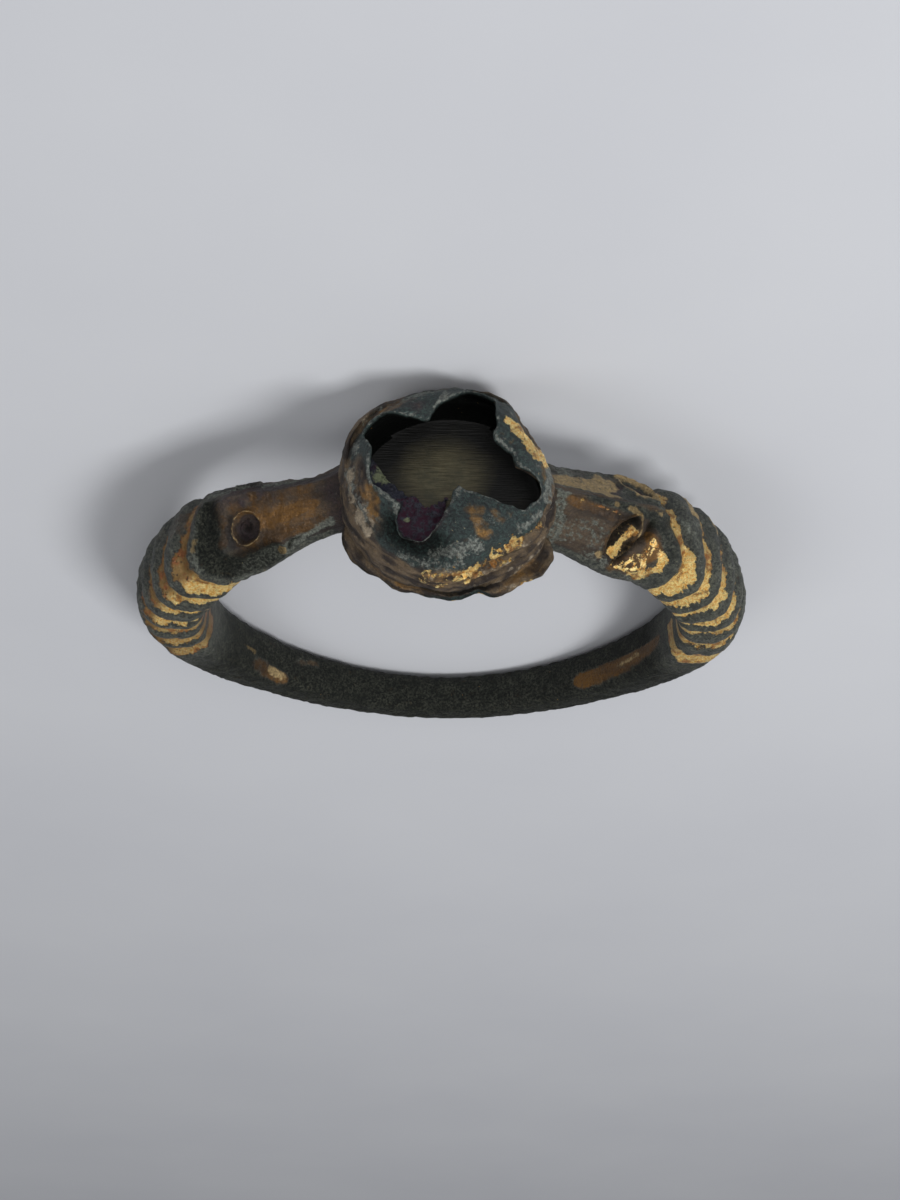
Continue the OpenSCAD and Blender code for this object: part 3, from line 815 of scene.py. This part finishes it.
def round_cup(r, theta, z):
    """Upright places of points at those distances and angles round the axis of the cup."""
    turn = np.radians(theta)
    return np.stack([CUP_AT[0] + r * np.cos(turn), CUP_AT[1] + r * np.sin(turn), z], 1)


cup_r, cup_z = softened(cup_point, skin, SKIN_REACH)
cup_r = np.where((skin < POLE) | (skin > 1 - POLE), 0, cup_r)
write(cup_mesh, round_cup(cup_r, theta, cup_z))
print("bezel:", len(ball), "vertices,", round(float(2 * cup_r.max()), 2), "mm across the foot")

# %% [markdown]
# The crushed sheet is wrinkled: the front of the lip is pressed into a hollow behind a raised crease,
# long folds follow the wall under it, and everything is dented and pitted. The floor keeps its flat
# face. A cloth simulation could crumple the sheet too, but its folds would fall where they like, so
# each fold here is a wave or a soft hill at its own place.

# %% Wrinkles of the bezel
OVER_FROM = 0.44
LIP_FOLDS_PER_MM = 3.4
WALL_FOLDS_PER_MM = LIP_FOLDS_PER_MM / 1.4


def sector(middle, half):
    """1 at that angle round the cup, and 0 beyond so many degrees on both sides."""
    return bump(turned(theta - middle) / half)


cup_base = read(cup_mesh, "co")
turn = np.radians(theta)
cup_x, cup_y = cup_r * np.cos(turn), cup_r * np.sin(turn)
on_lip = after(skin, 0.27, 0.03) * before(skin, 0.65, 0.03)
over = after(skin, OVER_FROM, 0.02) * before(skin, 0.66, 0.03)
on_wall = after(skin, 0.63, 0.03) * before(skin, 0.88, 0.03)
fold_shift = 0.4 * np.sin(np.radians(2.5 * theta)) + 0.25 * lumps(cup_base, 1.5, 2, 24)
folds = np.sin(2 * math.pi * (WALL_FOLDS_PER_MM * cup_z + fold_shift))
front_right = sector(314, 56)
side_folds = np.sin(2 * math.pi * (LIP_FOLDS_PER_MM * cup_r + 0.02 * theta)) * sector(200, 44)
press = sector(246, 34) * near(cup_r, 2.75, 0.55)
press = press + 0.5 * sector(300, 26) * near(cup_r, 2.45, 0.5)
crease_wave = 0.05 * np.sin(np.radians(9 * theta))
crease = near(cup_r + crease_wave, 3.2, 0.16) * sector(290, 52)
cup_fray = lumps(cup_base, 0.45, 4, 25)
# Places stretched in height, so that the noise runs in long wrinkles round the cup
wrinkled = np.stack([2.7 * np.cos(turn), 2.7 * np.sin(turn), 3.2 * (cup_z - 0.6 * cup_r)], 1)
wrinkles = lumps(wrinkled, 0.9, 4, 26) * (on_wall + 0.5 * over * after(cup_r, 2.8, 0.3))
# Each form with its height in mm
cup_relief = sum(height * form for height, form in (
    (0.085, wrinkles), (0.11, folds * front_right * on_wall), (0.04, side_folds * over),
    (-0.16, press * over), (0.07, crease * over),
    (0.05 * on_lip + 0.045 * on_wall, lumps(cup_base, 0.8, 3, 21)),
    (0.028 * (on_lip + on_wall), lumps(cup_base, 0.24, 4, 22)),
    (0.006, lumps(cup_base, 0.3, 3, 23))))
write(cup_mesh, cup_base + read(cup_mesh, "normal") * cup_relief[:, None])
print("wrinkles from", round(float(cup_relief.min()), 2), "to", round(float(cup_relief.max()), 2), "mm")

# %% [markdown]
# The colours of the cup follow how it was handled: the lip keeps a dark blue-green skin with pale
# worn edges, the wall is brown and tan, and gold survives on the bend and in a few patches. Each
# row is again a stroke: its places as an angle round the cup and a distance from its axis, its half
# width in mm and how strong it is.

# %% Strokes of colour on the bezel
CUP_GOLD = (
    (((42, 2.54), (34, 2.62)), 0.15, 0.9),
    (((33, 2.64), (24, 2.74), (13, 2.93)), 0.29, 1.0),
    (((257, 3.42), (266, 3.40), (273, 3.38)), 0.08, 0.6),
    (((273, 3.38), (280, 3.31), (287, 3.22)), 0.10, 0.95),
    (((288, 3.20), (293, 3.14)), 0.07, 0.8),
    (((297, 3.08), (303, 3.04)), 0.10, 1.0),
    (((307, 3.03), (313, 3.05)), 0.08, 1.0),
    (((316, 3.08), (324, 3.20), (331, 3.30)), 0.04, 0.85))
CUP_AMBER = (
    (((296, 1.62), (301, 1.76)), 0.20, 0.58),
    (((298, 1.88), (297, 2.48)), 0.24, 0.60),
    (((312, 2.15), (313, 2.45)), 0.12, 0.56),
    (((196, 2.74), (206, 2.58), (215, 2.85)), 0.22, 0.64),
    (((122, 3.10), (134, 3.15)), 0.10, 0.7),
    (((258, 3.50), (285, 3.44)), 0.07, 0.7),
    (((8, 3.0), (352, 3.05)), 0.06, 0.5))
CUP_TAN = (
    (((178, 3.12), (192, 3.12), (206, 3.14), (220, 3.20)), 0.06, 0.95),
    (((205, 2.95), (218, 3.00)), 0.04, 0.8),
    (((141, 3.34), (143, 3.38)), 0.06, 1.0),
    (((290, 0.72), (300, 0.68)), 0.06, 1.0),
    (((262, 3.46), (300, 3.36)), 0.05, 0.6))
CUP_GREY = (
    (((158, 3.2), (168, 3.0)), 0.10, 0.7),
    (((220, 2.12), (226, 2.30)), 0.10, 0.8),
    (((203, 2.28), (212, 2.2)), 0.10, 0.8),
    (((345, 3.16), (360, 3.20), (374, 3.20)), 0.12, 0.9),
    (((320, 3.02), (336, 3.12)), 0.06, 0.8),
    (((350, 2.90), (340, 3.00)), 0.06, 0.7),
    (((262, 2.95), (276, 2.80), (290, 2.78)), 0.16, 0.7),
    (((92, 2.75), (99, 2.35)), 0.07, 0.8),
    (((70, 3.2), (90, 3.15)), 0.08, 0.7),
    (((176, 2.5), (190, 2.5)), 0.08, 0.6))
CUP_STROKE_FRAY = 0.10
TOP_TO = 0.72


def cup_painted(table):
    """Mask of a table of strokes on the outer skin at the top of the cup."""
    mask = np.zeros(len(theta))
    for places, half, amount in table:
        points = [(r * math.cos(math.radians(a)), r * math.sin(math.radians(a))) for a, r in places]
        inside = half + CUP_STROKE_FRAY * cup_fray - line_distance(cup_x, cup_y, points)
        mask = np.maximum(mask, amount * ease(0.5 + inside / SOFT_EDGE))
    return mask * (skin > OVER_FROM) * (skin < TOP_TO)


print("strokes on the bezel:", sum(map(len, (CUP_GOLD, CUP_AMBER, CUP_TAN, CUP_GREY))))

# %% [markdown]
# The masks of the bezel join those strokes to measures of its relief: pale edges, partly where the sheet is
# bare and partly as a painted highlight, rust and a few spots of gold at the foot, partly painted glints,
# and black as painted shade in the hollow and in the gap under the crease.

# %% Masks of the bezel
cup_gold, cup_amber, cup_tan = map(cup_painted, (CUP_GOLD, CUP_AMBER, CUP_TAN))
# Pale grey along the torn edge, partly bare sheet and partly a painted highlight, and over the bend
patchy = ease(0.5 + 1.6 * lumps(cup_base, 1.0, 3, 31))
edge_grey = near(skin, 0.455, 0.03) * (0.35 + 0.4 * patchy)
bend_grey = 0.7 * near(skin, 0.60, 0.07) * patchy
cup_grey = strongest(cup_painted(CUP_GREY), edge_grey, bend_grey)
# Rust on the foot, and gold on it: specks along its rim that are partly painted glints, and one spot that
# is a painted glint
foot_rust = near(skin, 0.82, 0.05) * np.maximum(sector(245, 34), sector(312, 26))
foot_shine = near(skin, 0.885, 0.02) * after(ring_lumps(0.5, 3, 32), 0.10, 0.1) * sector(275, 55)
glint = near(skin, 0.865, 0.02) * sector(311, 7)
cup_gold = strongest(cup_gold, foot_shine, glint)
cup_amber = np.maximum(cup_amber, 0.52 * foot_rust)
# Tan on the folds, and brown on the wall and on the lip's left and back left
fold_tan = 0.52 * front_right * on_wall * ease(folds / 0.6) * ease(0.5 + 1.5 * cup_fray)
cup_tan = np.maximum(cup_tan, fold_tan)
left_skin = sector(198, 46) * after(cup_r, 2.45, 0.25) * over
back_left = sector(130, 24) * over * after(cup_r, 2.6, 0.2)
cup_brown = on_wall * 1.2 + 0.95 * left_skin + 0.9 * back_left + 0.6 * near(cup_r, 3.4, 0.3) * over
cup_brown = np.clip(cup_brown, 0, 1) * (1 - 0.8 * after(skin, 0.84, 0.02) * sector(278, 34))
# Black as painted shade inside the cup, in the hollow of the lip, in the gap under its crease and in the
# troughs of the folds at the front right, and black low on the foot
under_crease = near(skin, 0.79, 0.06) * sector(268, 46)
hollow = ease(1.5 * sector(246, 40) * near(cup_r, 2.66, 0.70)) * over
low_foot = 0.85 * near(skin, 0.885, 0.045) * (1 - foot_shine)
gap = ease(2 * near(skin, 0.80, 0.045) * sector(274, 36) - 0.6 * ease(0.3 + cup_fray))
inner_side = before(skin, OVER_FROM, 0.02)
inner_brown = sector(350, 26) * after(skin, 0.19, 0.03) * inner_side
cup_brown = np.maximum(cup_brown, inner_brown)
cup_deep = strongest(
    inner_side * (1 - 0.8 * inner_brown), 0.95 * hollow, 0.85 * under_crease, 0.97 * gap, low_foot,
    0.6 * front_right * on_wall * ease(-folds - 0.3))
# A violet film along the front of the torn edge and in two patches of the lip
cup_violet = strongest(
    0.7 * near(skin, 0.47, 0.04) * sector(250, 44), 0.4 * left_skin * (cup_r > 3.3),
    0.6 * sector(115, 12) * near(cup_r, 2.4, 0.4) * over)
cup_streak = 0.42 + 1.8 * lumps(wrinkled, 0.7, 4, 33) + 0.7 * wrinkles
cup_masks = {"gold": cup_gold, "amber": cup_amber, "tan": cup_tan, "grey": cup_grey, "brown": cup_brown,
             "deep": cup_deep, "violet": cup_violet, "dull": 0.35 * patchy, "streak": cup_streak}
for name, values in cup_masks.items():
    mark(cup_mesh, name, values)
# Where the floor is lit: an oval in its middle, and the part towards the front left. Outside it the floor
# is painted black as shade
LIT_AT = (-0.20, 0.85)
LIT_HALF = (1.8, 1.5)
lit_floor = np.hypot((cup_x - LIT_AT[0]) / LIT_HALF[0], (cup_y - LIT_AT[1]) / LIT_HALF[1])
front_floor = before(cup_y, 0.6, 1.5) * before(cup_x, 1.4, 0.8)
mark(cup_mesh, "lit_floor", np.maximum(1.2 * near(lit_floor, 0, 1.15), front_floor))
print("gilt share of the bezel:", round(float((cup_gold > 0.5).mean()), 3))

# %% [markdown]
# A little of the paste that once filled the cup still clings to its floor: a crumbly purple crust
# along the front and the left. Crumbs could be scattered over the floor, but what shows is one
# crust, so it is a ball again, bent into a crescent and pushed flat.

# %% Remains of the paste
CRUST_FROM = 150
CRUST_TO = 300
CRUST_T = 0.42
CRUST_REACH = 2.6
CRUST_WAVE = 0.08
CRUST_WAVES = 2.5
CRUST_SKEW = 1.3
CRUST_BLUNT = 0.5
CRUST_GAP = 0.17
CRUST_SUNK = 0.02
BOX_POWER = 0.6
CRUMB_HIGH = 0.13
GRIT_HIGH = 0.10
CRUST_SEGMENTS = 120
CRUST_RINGS = 200
crust_mesh, ball = ball_mesh("paste_crust", CRUST_SEGMENTS, CRUST_RINGS)
run = np.arccos(np.clip(ball[:, 2], -1, 1)) / math.pi
spin = np.arctan2(ball[:, 1], ball[:, 0])
crust_theta = CRUST_FROM + (CRUST_TO - CRUST_FROM) * run
crust_outer = BELLY_R + np.minimum(0, swell(DENTS, crust_theta, 2)) / 2 - SHEET_T - CRUST_GAP
taper = np.clip(np.sin(np.pi * np.clip(run, 0, 1) ** CRUST_SKEW), 0, 1) ** CRUST_BLUNT
reach = CRUST_REACH * taper * (1 - CRUST_WAVE * np.cos(2 * math.pi * CRUST_WAVES * run))
box_cos, box_sin = (np.sign(v) * np.abs(v) ** BOX_POWER for v in (np.cos(spin), np.sin(spin)))
crust_r = crust_outer - reach * (1 - box_cos) / 2
crust_z = FLOOR_Z - CRUST_SUNK + CRUST_T * taper * np.clip(0.5 + box_sin, 0, None) / 1.5
flat = round_cup(crust_r, crust_theta, crust_z)
write(crust_mesh, flat)
rough = CRUMB_HIGH * lumps(flat, 0.5, 3, 41) + GRIT_HIGH * lumps(flat, 0.16, 3, 42)
rough = rough * after(crust_z, FLOOR_Z, 0.1) * ease(run * 12) * ease((1 - run) * 12)
write(crust_mesh, flat + read(crust_mesh, "normal") * rough[:, None])
mark(crust_mesh, "crumb", 0.6 * lumps(flat, 0.6, 3, 43) + after(crust_theta, 178, 16))
sliver = bump(np.hypot((crust_theta - 216) / 7, (crust_r - 1.62) / 0.14))
olive = bump(np.hypot((crust_theta - 160) / 16, (crust_r - 2.2) / 0.9))
mark(crust_mesh, "green", np.maximum(sliver, 0.8 * olive))
print("crust reaches", round(float(crust_z.max() - FLOOR_Z), 2), "mm over the floor of the cup")

# %% [markdown]
# Materials come next. Every colour on this ring has a ragged edge, so one node group turns a soft
# mask into a ragged one by adding noise before a threshold. It is built once and used many times.


# %% Helpers for materials
def socket(tree, value, target):
    """Sets an input, or links another node's output to it."""
    if isinstance(value, bpy.types.NodeSocket):
        tree.links.new(value, target)
    else:
        target.default_value = value


def add(tree, kind, inputs=None, **settings):
    """A new shader node with its settings and its inputs, by name or by number."""
    made = tree.nodes.new("ShaderNode" + kind)
    for name, value in settings.items():
        setattr(made, name, value)
    for name, value in (inputs or {}).items():
        socket(tree, value, made.inputs[name])
    return made


def blend(tree, share, first, second):
    """A colour between two others."""
    return add(tree, "Mix", {0: share, 6: first, 7: second}, data_type="RGBA").outputs[2]


def mix_value(tree, share, first, second):
    """A number between two others."""
    return add(tree, "Mix", {0: share, 2: first, 3: second}, data_type="FLOAT").outputs[0]


def maths(tree, operation, first, second):
    """The result of one sum."""
    return add(tree, "Math", {0: first, 1: second}, operation=operation).outputs[0]


def ramp(tree, value, low, high):
    """0 where the value is below low, 1 where it is above high."""
    return add(tree, "MapRange", {0: value, 1: low, 2: high, 3: 0.0, 4: 1.0}, clamp=True).outputs[0]


def group(name, inputs, outputs):
    """An empty node group with named sockets, and its two end nodes."""
    tree = bpy.data.node_groups.new(name, "ShaderNodeTree")
    for label, kind, value in inputs:
        made = tree.interface.new_socket(label, in_out="INPUT", socket_type="NodeSocket" + kind)
        if value is not None:
            made.default_value = value
    for label, kind in outputs:
        tree.interface.new_socket(label, in_out="OUTPUT", socket_type="NodeSocket" + kind)
    return tree, tree.nodes.new("NodeGroupInput"), tree.nodes.new("NodeGroupOutput")


def use(tree, made, inputs):
    """A node group placed in a material, with its own values."""
    placed = tree.nodes.new("ShaderNodeGroup")
    placed.node_tree = made
    for name, value in inputs.items():
        socket(tree, value, placed.inputs[name])
    return placed


def new_material(name):
    """A material, its node tree and the shader in it."""
    material = bpy.data.materials.new(name)
    material.use_nodes = True
    print("new material:", name)
    return material, material.node_tree, material.node_tree.nodes["Principled BSDF"]


def place_in_mm(tree, stretch=(1, 1, 1)):
    """Where a point lies on its piece, in mm, stretched as asked."""
    scale = [s / MM for s in stretch]
    there = add(tree, "TexCoord").outputs["Object"]
    return add(tree, "Mapping", {"Vector": there, "Scale": scale}).outputs["Vector"]


# %% [markdown]
# The first group is the ragged edge in which leaf and crusts end, the second the pitted ground of
# corroded metal. Both read a place in mm, so their grain keeps its real size on every piece.

# %% Node groups
ragged_edge, start, end = group(
    "Ragged edge",
    [("Place", "Vector", None), ("Mask", "Float", 0.0), ("Size", "Float", 4.0),
     ("Raggedness", "Float", 0.6), ("Softness", "Float", 0.08)],
    [("Mask", "Float")])
frayed = add(ragged_edge, "TexNoise", {"Vector": start.outputs["Place"], "Scale": start.outputs["Size"],
                                       "Detail": 6.0, "Roughness": 0.65})
shift = maths(ragged_edge, "MULTIPLY", maths(ragged_edge, "SUBTRACT", frayed.outputs["Fac"], 0.5),
              start.outputs["Raggedness"])
level_up = maths(ragged_edge, "ADD", start.outputs["Mask"], maths(ragged_edge, "MULTIPLY", shift, 2.0))
low_end = maths(ragged_edge, "SUBTRACT", 0.5, start.outputs["Softness"])
high_end = maths(ragged_edge, "ADD", 0.5, start.outputs["Softness"])
socket(ragged_edge, ramp(ragged_edge, level_up, low_end, high_end), end.inputs["Mask"])

pitted, start, end = group(
    "Pitted ground",
    [("Place", "Vector", None), ("Lump size", "Float", 2.0), ("Pit size", "Float", 9.0),
     ("Pit share", "Float", 0.5)],
    [("Height", "Float"), ("Mottle", "Float"), ("Pits", "Float")])
lump = add(pitted, "TexNoise", {"Vector": start.outputs["Place"], "Scale": start.outputs["Lump size"],
                                "Detail": 8.0, "Roughness": 0.7})
pit = add(pitted, "TexVoronoi", {"Vector": start.outputs["Place"], "Scale": start.outputs["Pit size"]})
pit_mask = maths(pitted, "SUBTRACT", 1.0, ramp(pitted, pit.outputs["Distance"], 0.05, 0.55))
pit_some = maths(pitted, "MULTIPLY", pit_mask, ramp(pitted, lump.outputs["Fac"], 0.45, 0.6))
deepened = maths(pitted, "MULTIPLY", pit_some, start.outputs["Pit share"])
socket(pitted, maths(pitted, "SUBTRACT", lump.outputs["Fac"], deepened), end.inputs["Height"])
socket(pitted, lump.outputs["Fac"], end.inputs["Mottle"])
socket(pitted, pit_some, end.inputs["Pits"])
print("node groups:", ragged_edge.name, "and", pitted.name)


def fray_mask(tree, place, name, size, raggedness, softness):
    """One of the masks kept on the vertices, with a ragged edge."""
    mask = add(tree, "Attribute", attribute_name=name).outputs["Fac"]
    return use(tree, ragged_edge, {"Place": place, "Mask": mask, "Size": size, "Raggedness": raggedness,
                                   "Softness": softness}).outputs[0]

# %% [markdown]
# The metal has many finishes in one skin: dark patina, brown and violet crusts, pale grey and tan
# corrosion, amber where thin gold shows through dirt, and bright leaf gold. A material for each
# would need hard borders between faces, so one material mixes them by the masks, for the hoop and
# again for the bezel with other colours.

# %% Metal of the hoop and the bezel
BLACK = (0.0035, 0.0040, 0.0035, 1)
VIOLET = (0.055, 0.032, 0.036, 1)
RUST = (0.20, 0.055, 0.012, 1)
GOLD = (0.74, 0.38, 0.07, 1)
GOLD_LIGHT = (1.0, 0.82, 0.37, 1)
SHADED_AND_TARNISHED_GOLD = (0.155, 0.085, 0.021, 1)
BUMP_DISTANCE = 0.11 * MM


def darker(colour, share):
    """The same colour with that share of its light."""
    return [share * v for v in colour[:3]] + [1]


def metal(name, ground_colours, browns, amber, tan, grey):
    """Old gilt metal. The colours of its ground differ between the hoop and the bezel."""
    material, tree, shader = new_material(name)
    place = place_in_mm(tree)
    mask = {n: add(tree, "Attribute", attribute_name=n).outputs["Fac"] for n in ("deep", "dull", "streak")}
    ground = use(tree, pitted, {"Place": place, "Lump size": 2.2, "Pit size": 7.0,
                                "Pit share": 0.35}).outputs
    fine = use(tree, pitted, {"Place": place, "Lump size": 11.0, "Pit size": 24.0,
                              "Pit share": 0.6}).outputs

    def layer(under, share, dark, light, by):
        return blend(tree, share, under, blend(tree, by, dark, light))

    def crusted(under, name, edge, dark, light, by):
        return layer(under, fray_mask(tree, place, name, *edge), dark, light, by)

    amber_mask = fray_mask(tree, place, "amber", 3.2, 0.9, 0.30)
    gold_mask = fray_mask(tree, place, "gold", 7.0, 1.2, 0.06)
    mottle = ramp(tree, fine["Mottle"], 0.43, 0.58)
    cloud = ramp(tree, ground["Mottle"], 0.36, 0.64)
    streaky = maths(tree, "MULTIPLY", maths(tree, "ADD", mottle, 0.6), mask["streak"])
    uneven = maths(tree, "MULTIPLY", mottle, maths(tree, "ADD", cloud, 0.25))
    colour = blend(tree, uneven, *ground_colours)
    colour = crusted(colour, "brown", (1.6, 0.7, 0.25), *browns, streaky)
    colour = crusted(colour, "violet", (4.0, 0.8, 0.3), darker(VIOLET, 0.3), VIOLET, mottle)
    colour = crusted(colour, "grey", (7.0, 1.3, 0.16), darker(grey, 0.25), grey, mottle)
    colour = layer(colour, amber_mask, darker(amber, 0.25), amber, streaky)
    colour = crusted(colour, "tan", (5.0, 0.8, 0.18), darker(tan, 0.5), tan, mottle)
    # The deep mask blackens the colour, for dark patina and for painted shade
    shade = maths(tree, "MULTIPLY", mask["deep"], mix_value(tree, mottle, 0.95, 0.70))
    colour = blend(tree, maths(tree, "MAXIMUM", shade, ramp(tree, mask["deep"], 0.9, 1.0)), colour, BLACK)
    colour = blend(tree, maths(tree, "MULTIPLY", fine["Pits"], 0.7), colour, BLACK)
    leaf = blend(tree, ramp(tree, fine["Mottle"], 0.42, 0.54), GOLD, GOLD_LIGHT)
    # Dull leaf turns to this darker gold: painted shade on the hoop, patchy tarnish on the bezel
    leaf = blend(tree, maths(tree, "MULTIPLY", mask["dull"], 0.95), leaf, SHADED_AND_TARNISHED_GOLD)
    tarnish = maths(tree, "ADD", ground["Mottle"], maths(tree, "MULTIPLY", mask["dull"], 0.04))
    leaf = blend(tree, maths(tree, "MULTIPLY", ramp(tree, tarnish, 0.53, 0.60), 0.75), leaf, RUST)
    leaf = blend(tree, maths(tree, "MULTIPLY", fine["Pits"], 0.75), leaf, darker(RUST, 0.25))
    colour = blend(tree, gold_mask, colour, leaf)
    socket(tree, colour, shader.inputs["Base Color"])
    bright = maths(tree, "SUBTRACT", 0.75, maths(tree, "MULTIPLY", mask["dull"], 0.5))
    gilt = maths(tree, "MULTIPLY", gold_mask, bright)
    metallic = maths(tree, "MAXIMUM", gilt, maths(tree, "MULTIPLY", amber_mask, 0.3))
    socket(tree, metallic, shader.inputs["Metallic"])
    rough_ground = mix_value(tree, amber_mask, mix_value(tree, fine["Mottle"], 0.30, 0.75), 0.40)
    rough_gold = mix_value(tree, fine["Mottle"], 0.14, 0.56)
    socket(tree, mix_value(tree, gold_mask, rough_ground, rough_gold), shader.inputs["Roughness"])
    socket(tree, mix_value(tree, mask["deep"], 0.5, 0.05), shader.inputs["Specular IOR Level"])
    coarse = add(tree, "Bump", {"Strength": 0.9, "Distance": BUMP_DISTANCE, "Height": ground["Height"]})
    height = maths(tree, "ADD", fine["Height"], maths(tree, "MULTIPLY", gold_mask, 0.5))
    calm = maths(tree, "SUBTRACT", 1.0, maths(tree, "MULTIPLY", amber_mask, 0.6))
    detail = add(tree, "Bump", {"Strength": calm, "Distance": BUMP_DISTANCE, "Height": height,
                                "Normal": coarse.outputs["Normal"]})
    socket(tree, detail.outputs["Normal"], shader.inputs["Normal"])
    return material


hoop_metal = metal(
    "worn_gilt_casting", ground_colours=[(0.010, 0.013, 0.011, 1), (0.125, 0.131, 0.100, 1)],
    browns=[(0.013, 0.008, 0.005, 1), (0.094, 0.063, 0.036, 1)], amber=(0.135, 0.060, 0.006, 1),
    tan=(0.46, 0.33, 0.15, 1), grey=(0.20, 0.215, 0.175, 1))
cup_metal = metal(
    "worn_gilt_sheet", ground_colours=[(0.006, 0.010, 0.010, 1), (0.048, 0.082, 0.074, 1)],
    browns=[(0.018, 0.010, 0.006, 1), (0.152, 0.104, 0.056, 1)], amber=(0.235, 0.120, 0.027, 1),
    tan=(0.44, 0.36, 0.25, 1), grey=(0.26, 0.28, 0.245, 1))

# %% [markdown]
# The floor of the cup is flat sheet with fine parallel scratches, seen through the torn lip. Its middle and
# the part towards the front left are olive, and the rest is painted black as shade. A stretched noise
# texture gives such scratches, so the floor has a material of its own.

# %% Floor of the cup
SHEET_DARK = (0.070, 0.060, 0.030, 1)
SHEET_LIGHT = (0.190, 0.165, 0.092, 1)
STAIN = (0.06, 0.060, 0.036, 1)
CUP_FLOOR_SHADE = (0.004, 0.004, 0.003, 1)
SCRATCH_STRETCH = (0.9, 6, 14)
scratched, tree, shader = new_material("scratched_cup_floor")
place = place_in_mm(tree)
lines = add(tree, "TexNoise", {"Vector": place_in_mm(tree, SCRATCH_STRETCH), "Scale": 1.6, "Detail": 5.0,
                               "Roughness": 0.6}).outputs["Fac"]
stains = use(tree, pitted, {"Place": place, "Lump size": 1.4, "Pit size": 7.0, "Pit share": 0.4}).outputs
lit_floor = fray_mask(tree, place, "lit_floor", 1.2, 0.25, 0.45)
colour = blend(tree, ramp(tree, lines, 0.35, 0.68), SHEET_DARK, SHEET_LIGHT)
colour = blend(tree, ramp(tree, stains["Mottle"], 0.5, 0.75), colour, STAIN)
# Black outside the lit middle of the floor: painted shade
colour = blend(tree, lit_floor, CUP_FLOOR_SHADE, colour)
socket(tree, colour, shader.inputs["Base Color"])
shader.inputs["Roughness"].default_value = 0.62
height = maths(tree, "ADD", lines, maths(tree, "MULTIPLY", stains["Height"], 0.5))
scratches = add(tree, "Bump", {"Strength": 0.6, "Distance": BUMP_DISTANCE * 0.6, "Height": height})
socket(tree, scratches.outputs["Normal"], shader.inputs["Normal"])

# %% [markdown]
# The paste is dull and crumbly. It shades from violet to a bluish black, with a few specks of green
# where copper salts have crept in. One colour would look like plastic, so two masks on its vertices
# mix the colours, and pits break them up.

# %% Old paste
BLUE_BLACK = (0.020, 0.022, 0.038, 1)
PURPLE = (0.050, 0.011, 0.028, 1)
DUSTY = (0.060, 0.062, 0.080, 1)
COPPER_GREEN = (0.26, 0.29, 0.17, 1)
PIT = (0.006, 0.005, 0.008, 1)
paste, tree, shader = new_material("old_purple_paste")
place = place_in_mm(tree)
crumbs = use(tree, pitted, {"Place": place, "Lump size": 5.0, "Pit size": 11.0, "Pit share": 0.6}).outputs
crumb = add(tree, "Attribute", attribute_name="crumb").outputs["Fac"]
green = fray_mask(tree, place, "green", 4.0, 0.8, 0.15)
colour = blend(tree, ramp(tree, crumb, 0.2, 0.8), BLUE_BLACK, PURPLE)
colour = blend(tree, ramp(tree, crumbs["Mottle"], 0.45, 0.60), colour, DUSTY)
colour = blend(tree, green, colour, COPPER_GREEN)
colour = blend(tree, crumbs["Pits"], colour, PIT)
socket(tree, colour, shader.inputs["Base Color"])
shader.inputs["Roughness"].default_value = 0.85
rough = add(tree, "Bump", {"Strength": 0.8, "Distance": BUMP_DISTANCE, "Height": crumbs["Height"]})
socket(tree, rough.outputs["Normal"], shader.inputs["Normal"])

# %% [markdown]
# The stage gets a pale, faintly mottled card, so that it looks real and stays plain.

# %% Card of the stage
CARD_DARK = (0.48, 0.49, 0.52, 1)
CARD_LIGHT = (0.55, 0.56, 0.58, 1)
card, tree, shader = new_material("pale_card")
place = add(tree, "TexCoord").outputs["Object"]
cloud = add(tree, "TexNoise", {"Vector": place, "Scale": 60.0, "Detail": 4.0}).outputs["Fac"]
socket(tree, blend(tree, cloud, CARD_DARK, CARD_LIGHT), shader.inputs["Base Color"])
shader.inputs["Roughness"].default_value = 0.9
shader.inputs["Specular IOR Level"].default_value = 0.2
floor.data.materials.append(card)

# %% [markdown]
# Last, each mesh gets its materials, is laid down into the frame, rides on the ring's one body and
# stands for its solid. The hoop and the cup are one soldered solid, so both stand for it.

# %% Finish the pieces
hoop_mesh.materials.append(hoop_metal)
cup_mesh.materials.append(cup_metal)
cup_mesh.materials.append(scratched)
FLOOR_RIM = 2.95
FLOOR_FROM, FLOOR_TO = FLOOR_Z - 0.1, FLOOR_Z + 0.05
for polygon in cup_mesh.polygons:
    x, y, z = polygon.center
    within = math.hypot(x - CUP_AT[0], y - CUP_AT[1]) < FLOOR_RIM
    if within and FLOOR_FROM < z < FLOOR_TO and polygon.normal.z > 0.5:
        polygon.material_index = 1
crust_mesh.materials.append(paste)

hoop = finished("hoop_and_heads", hoop_mesh)
cup = finished("bezel_cup", cup_mesh)
crust = finished("paste_crust", crust_mesh)
for piece in (hoop, cup):
    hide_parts("ring")
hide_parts("paste_remains")
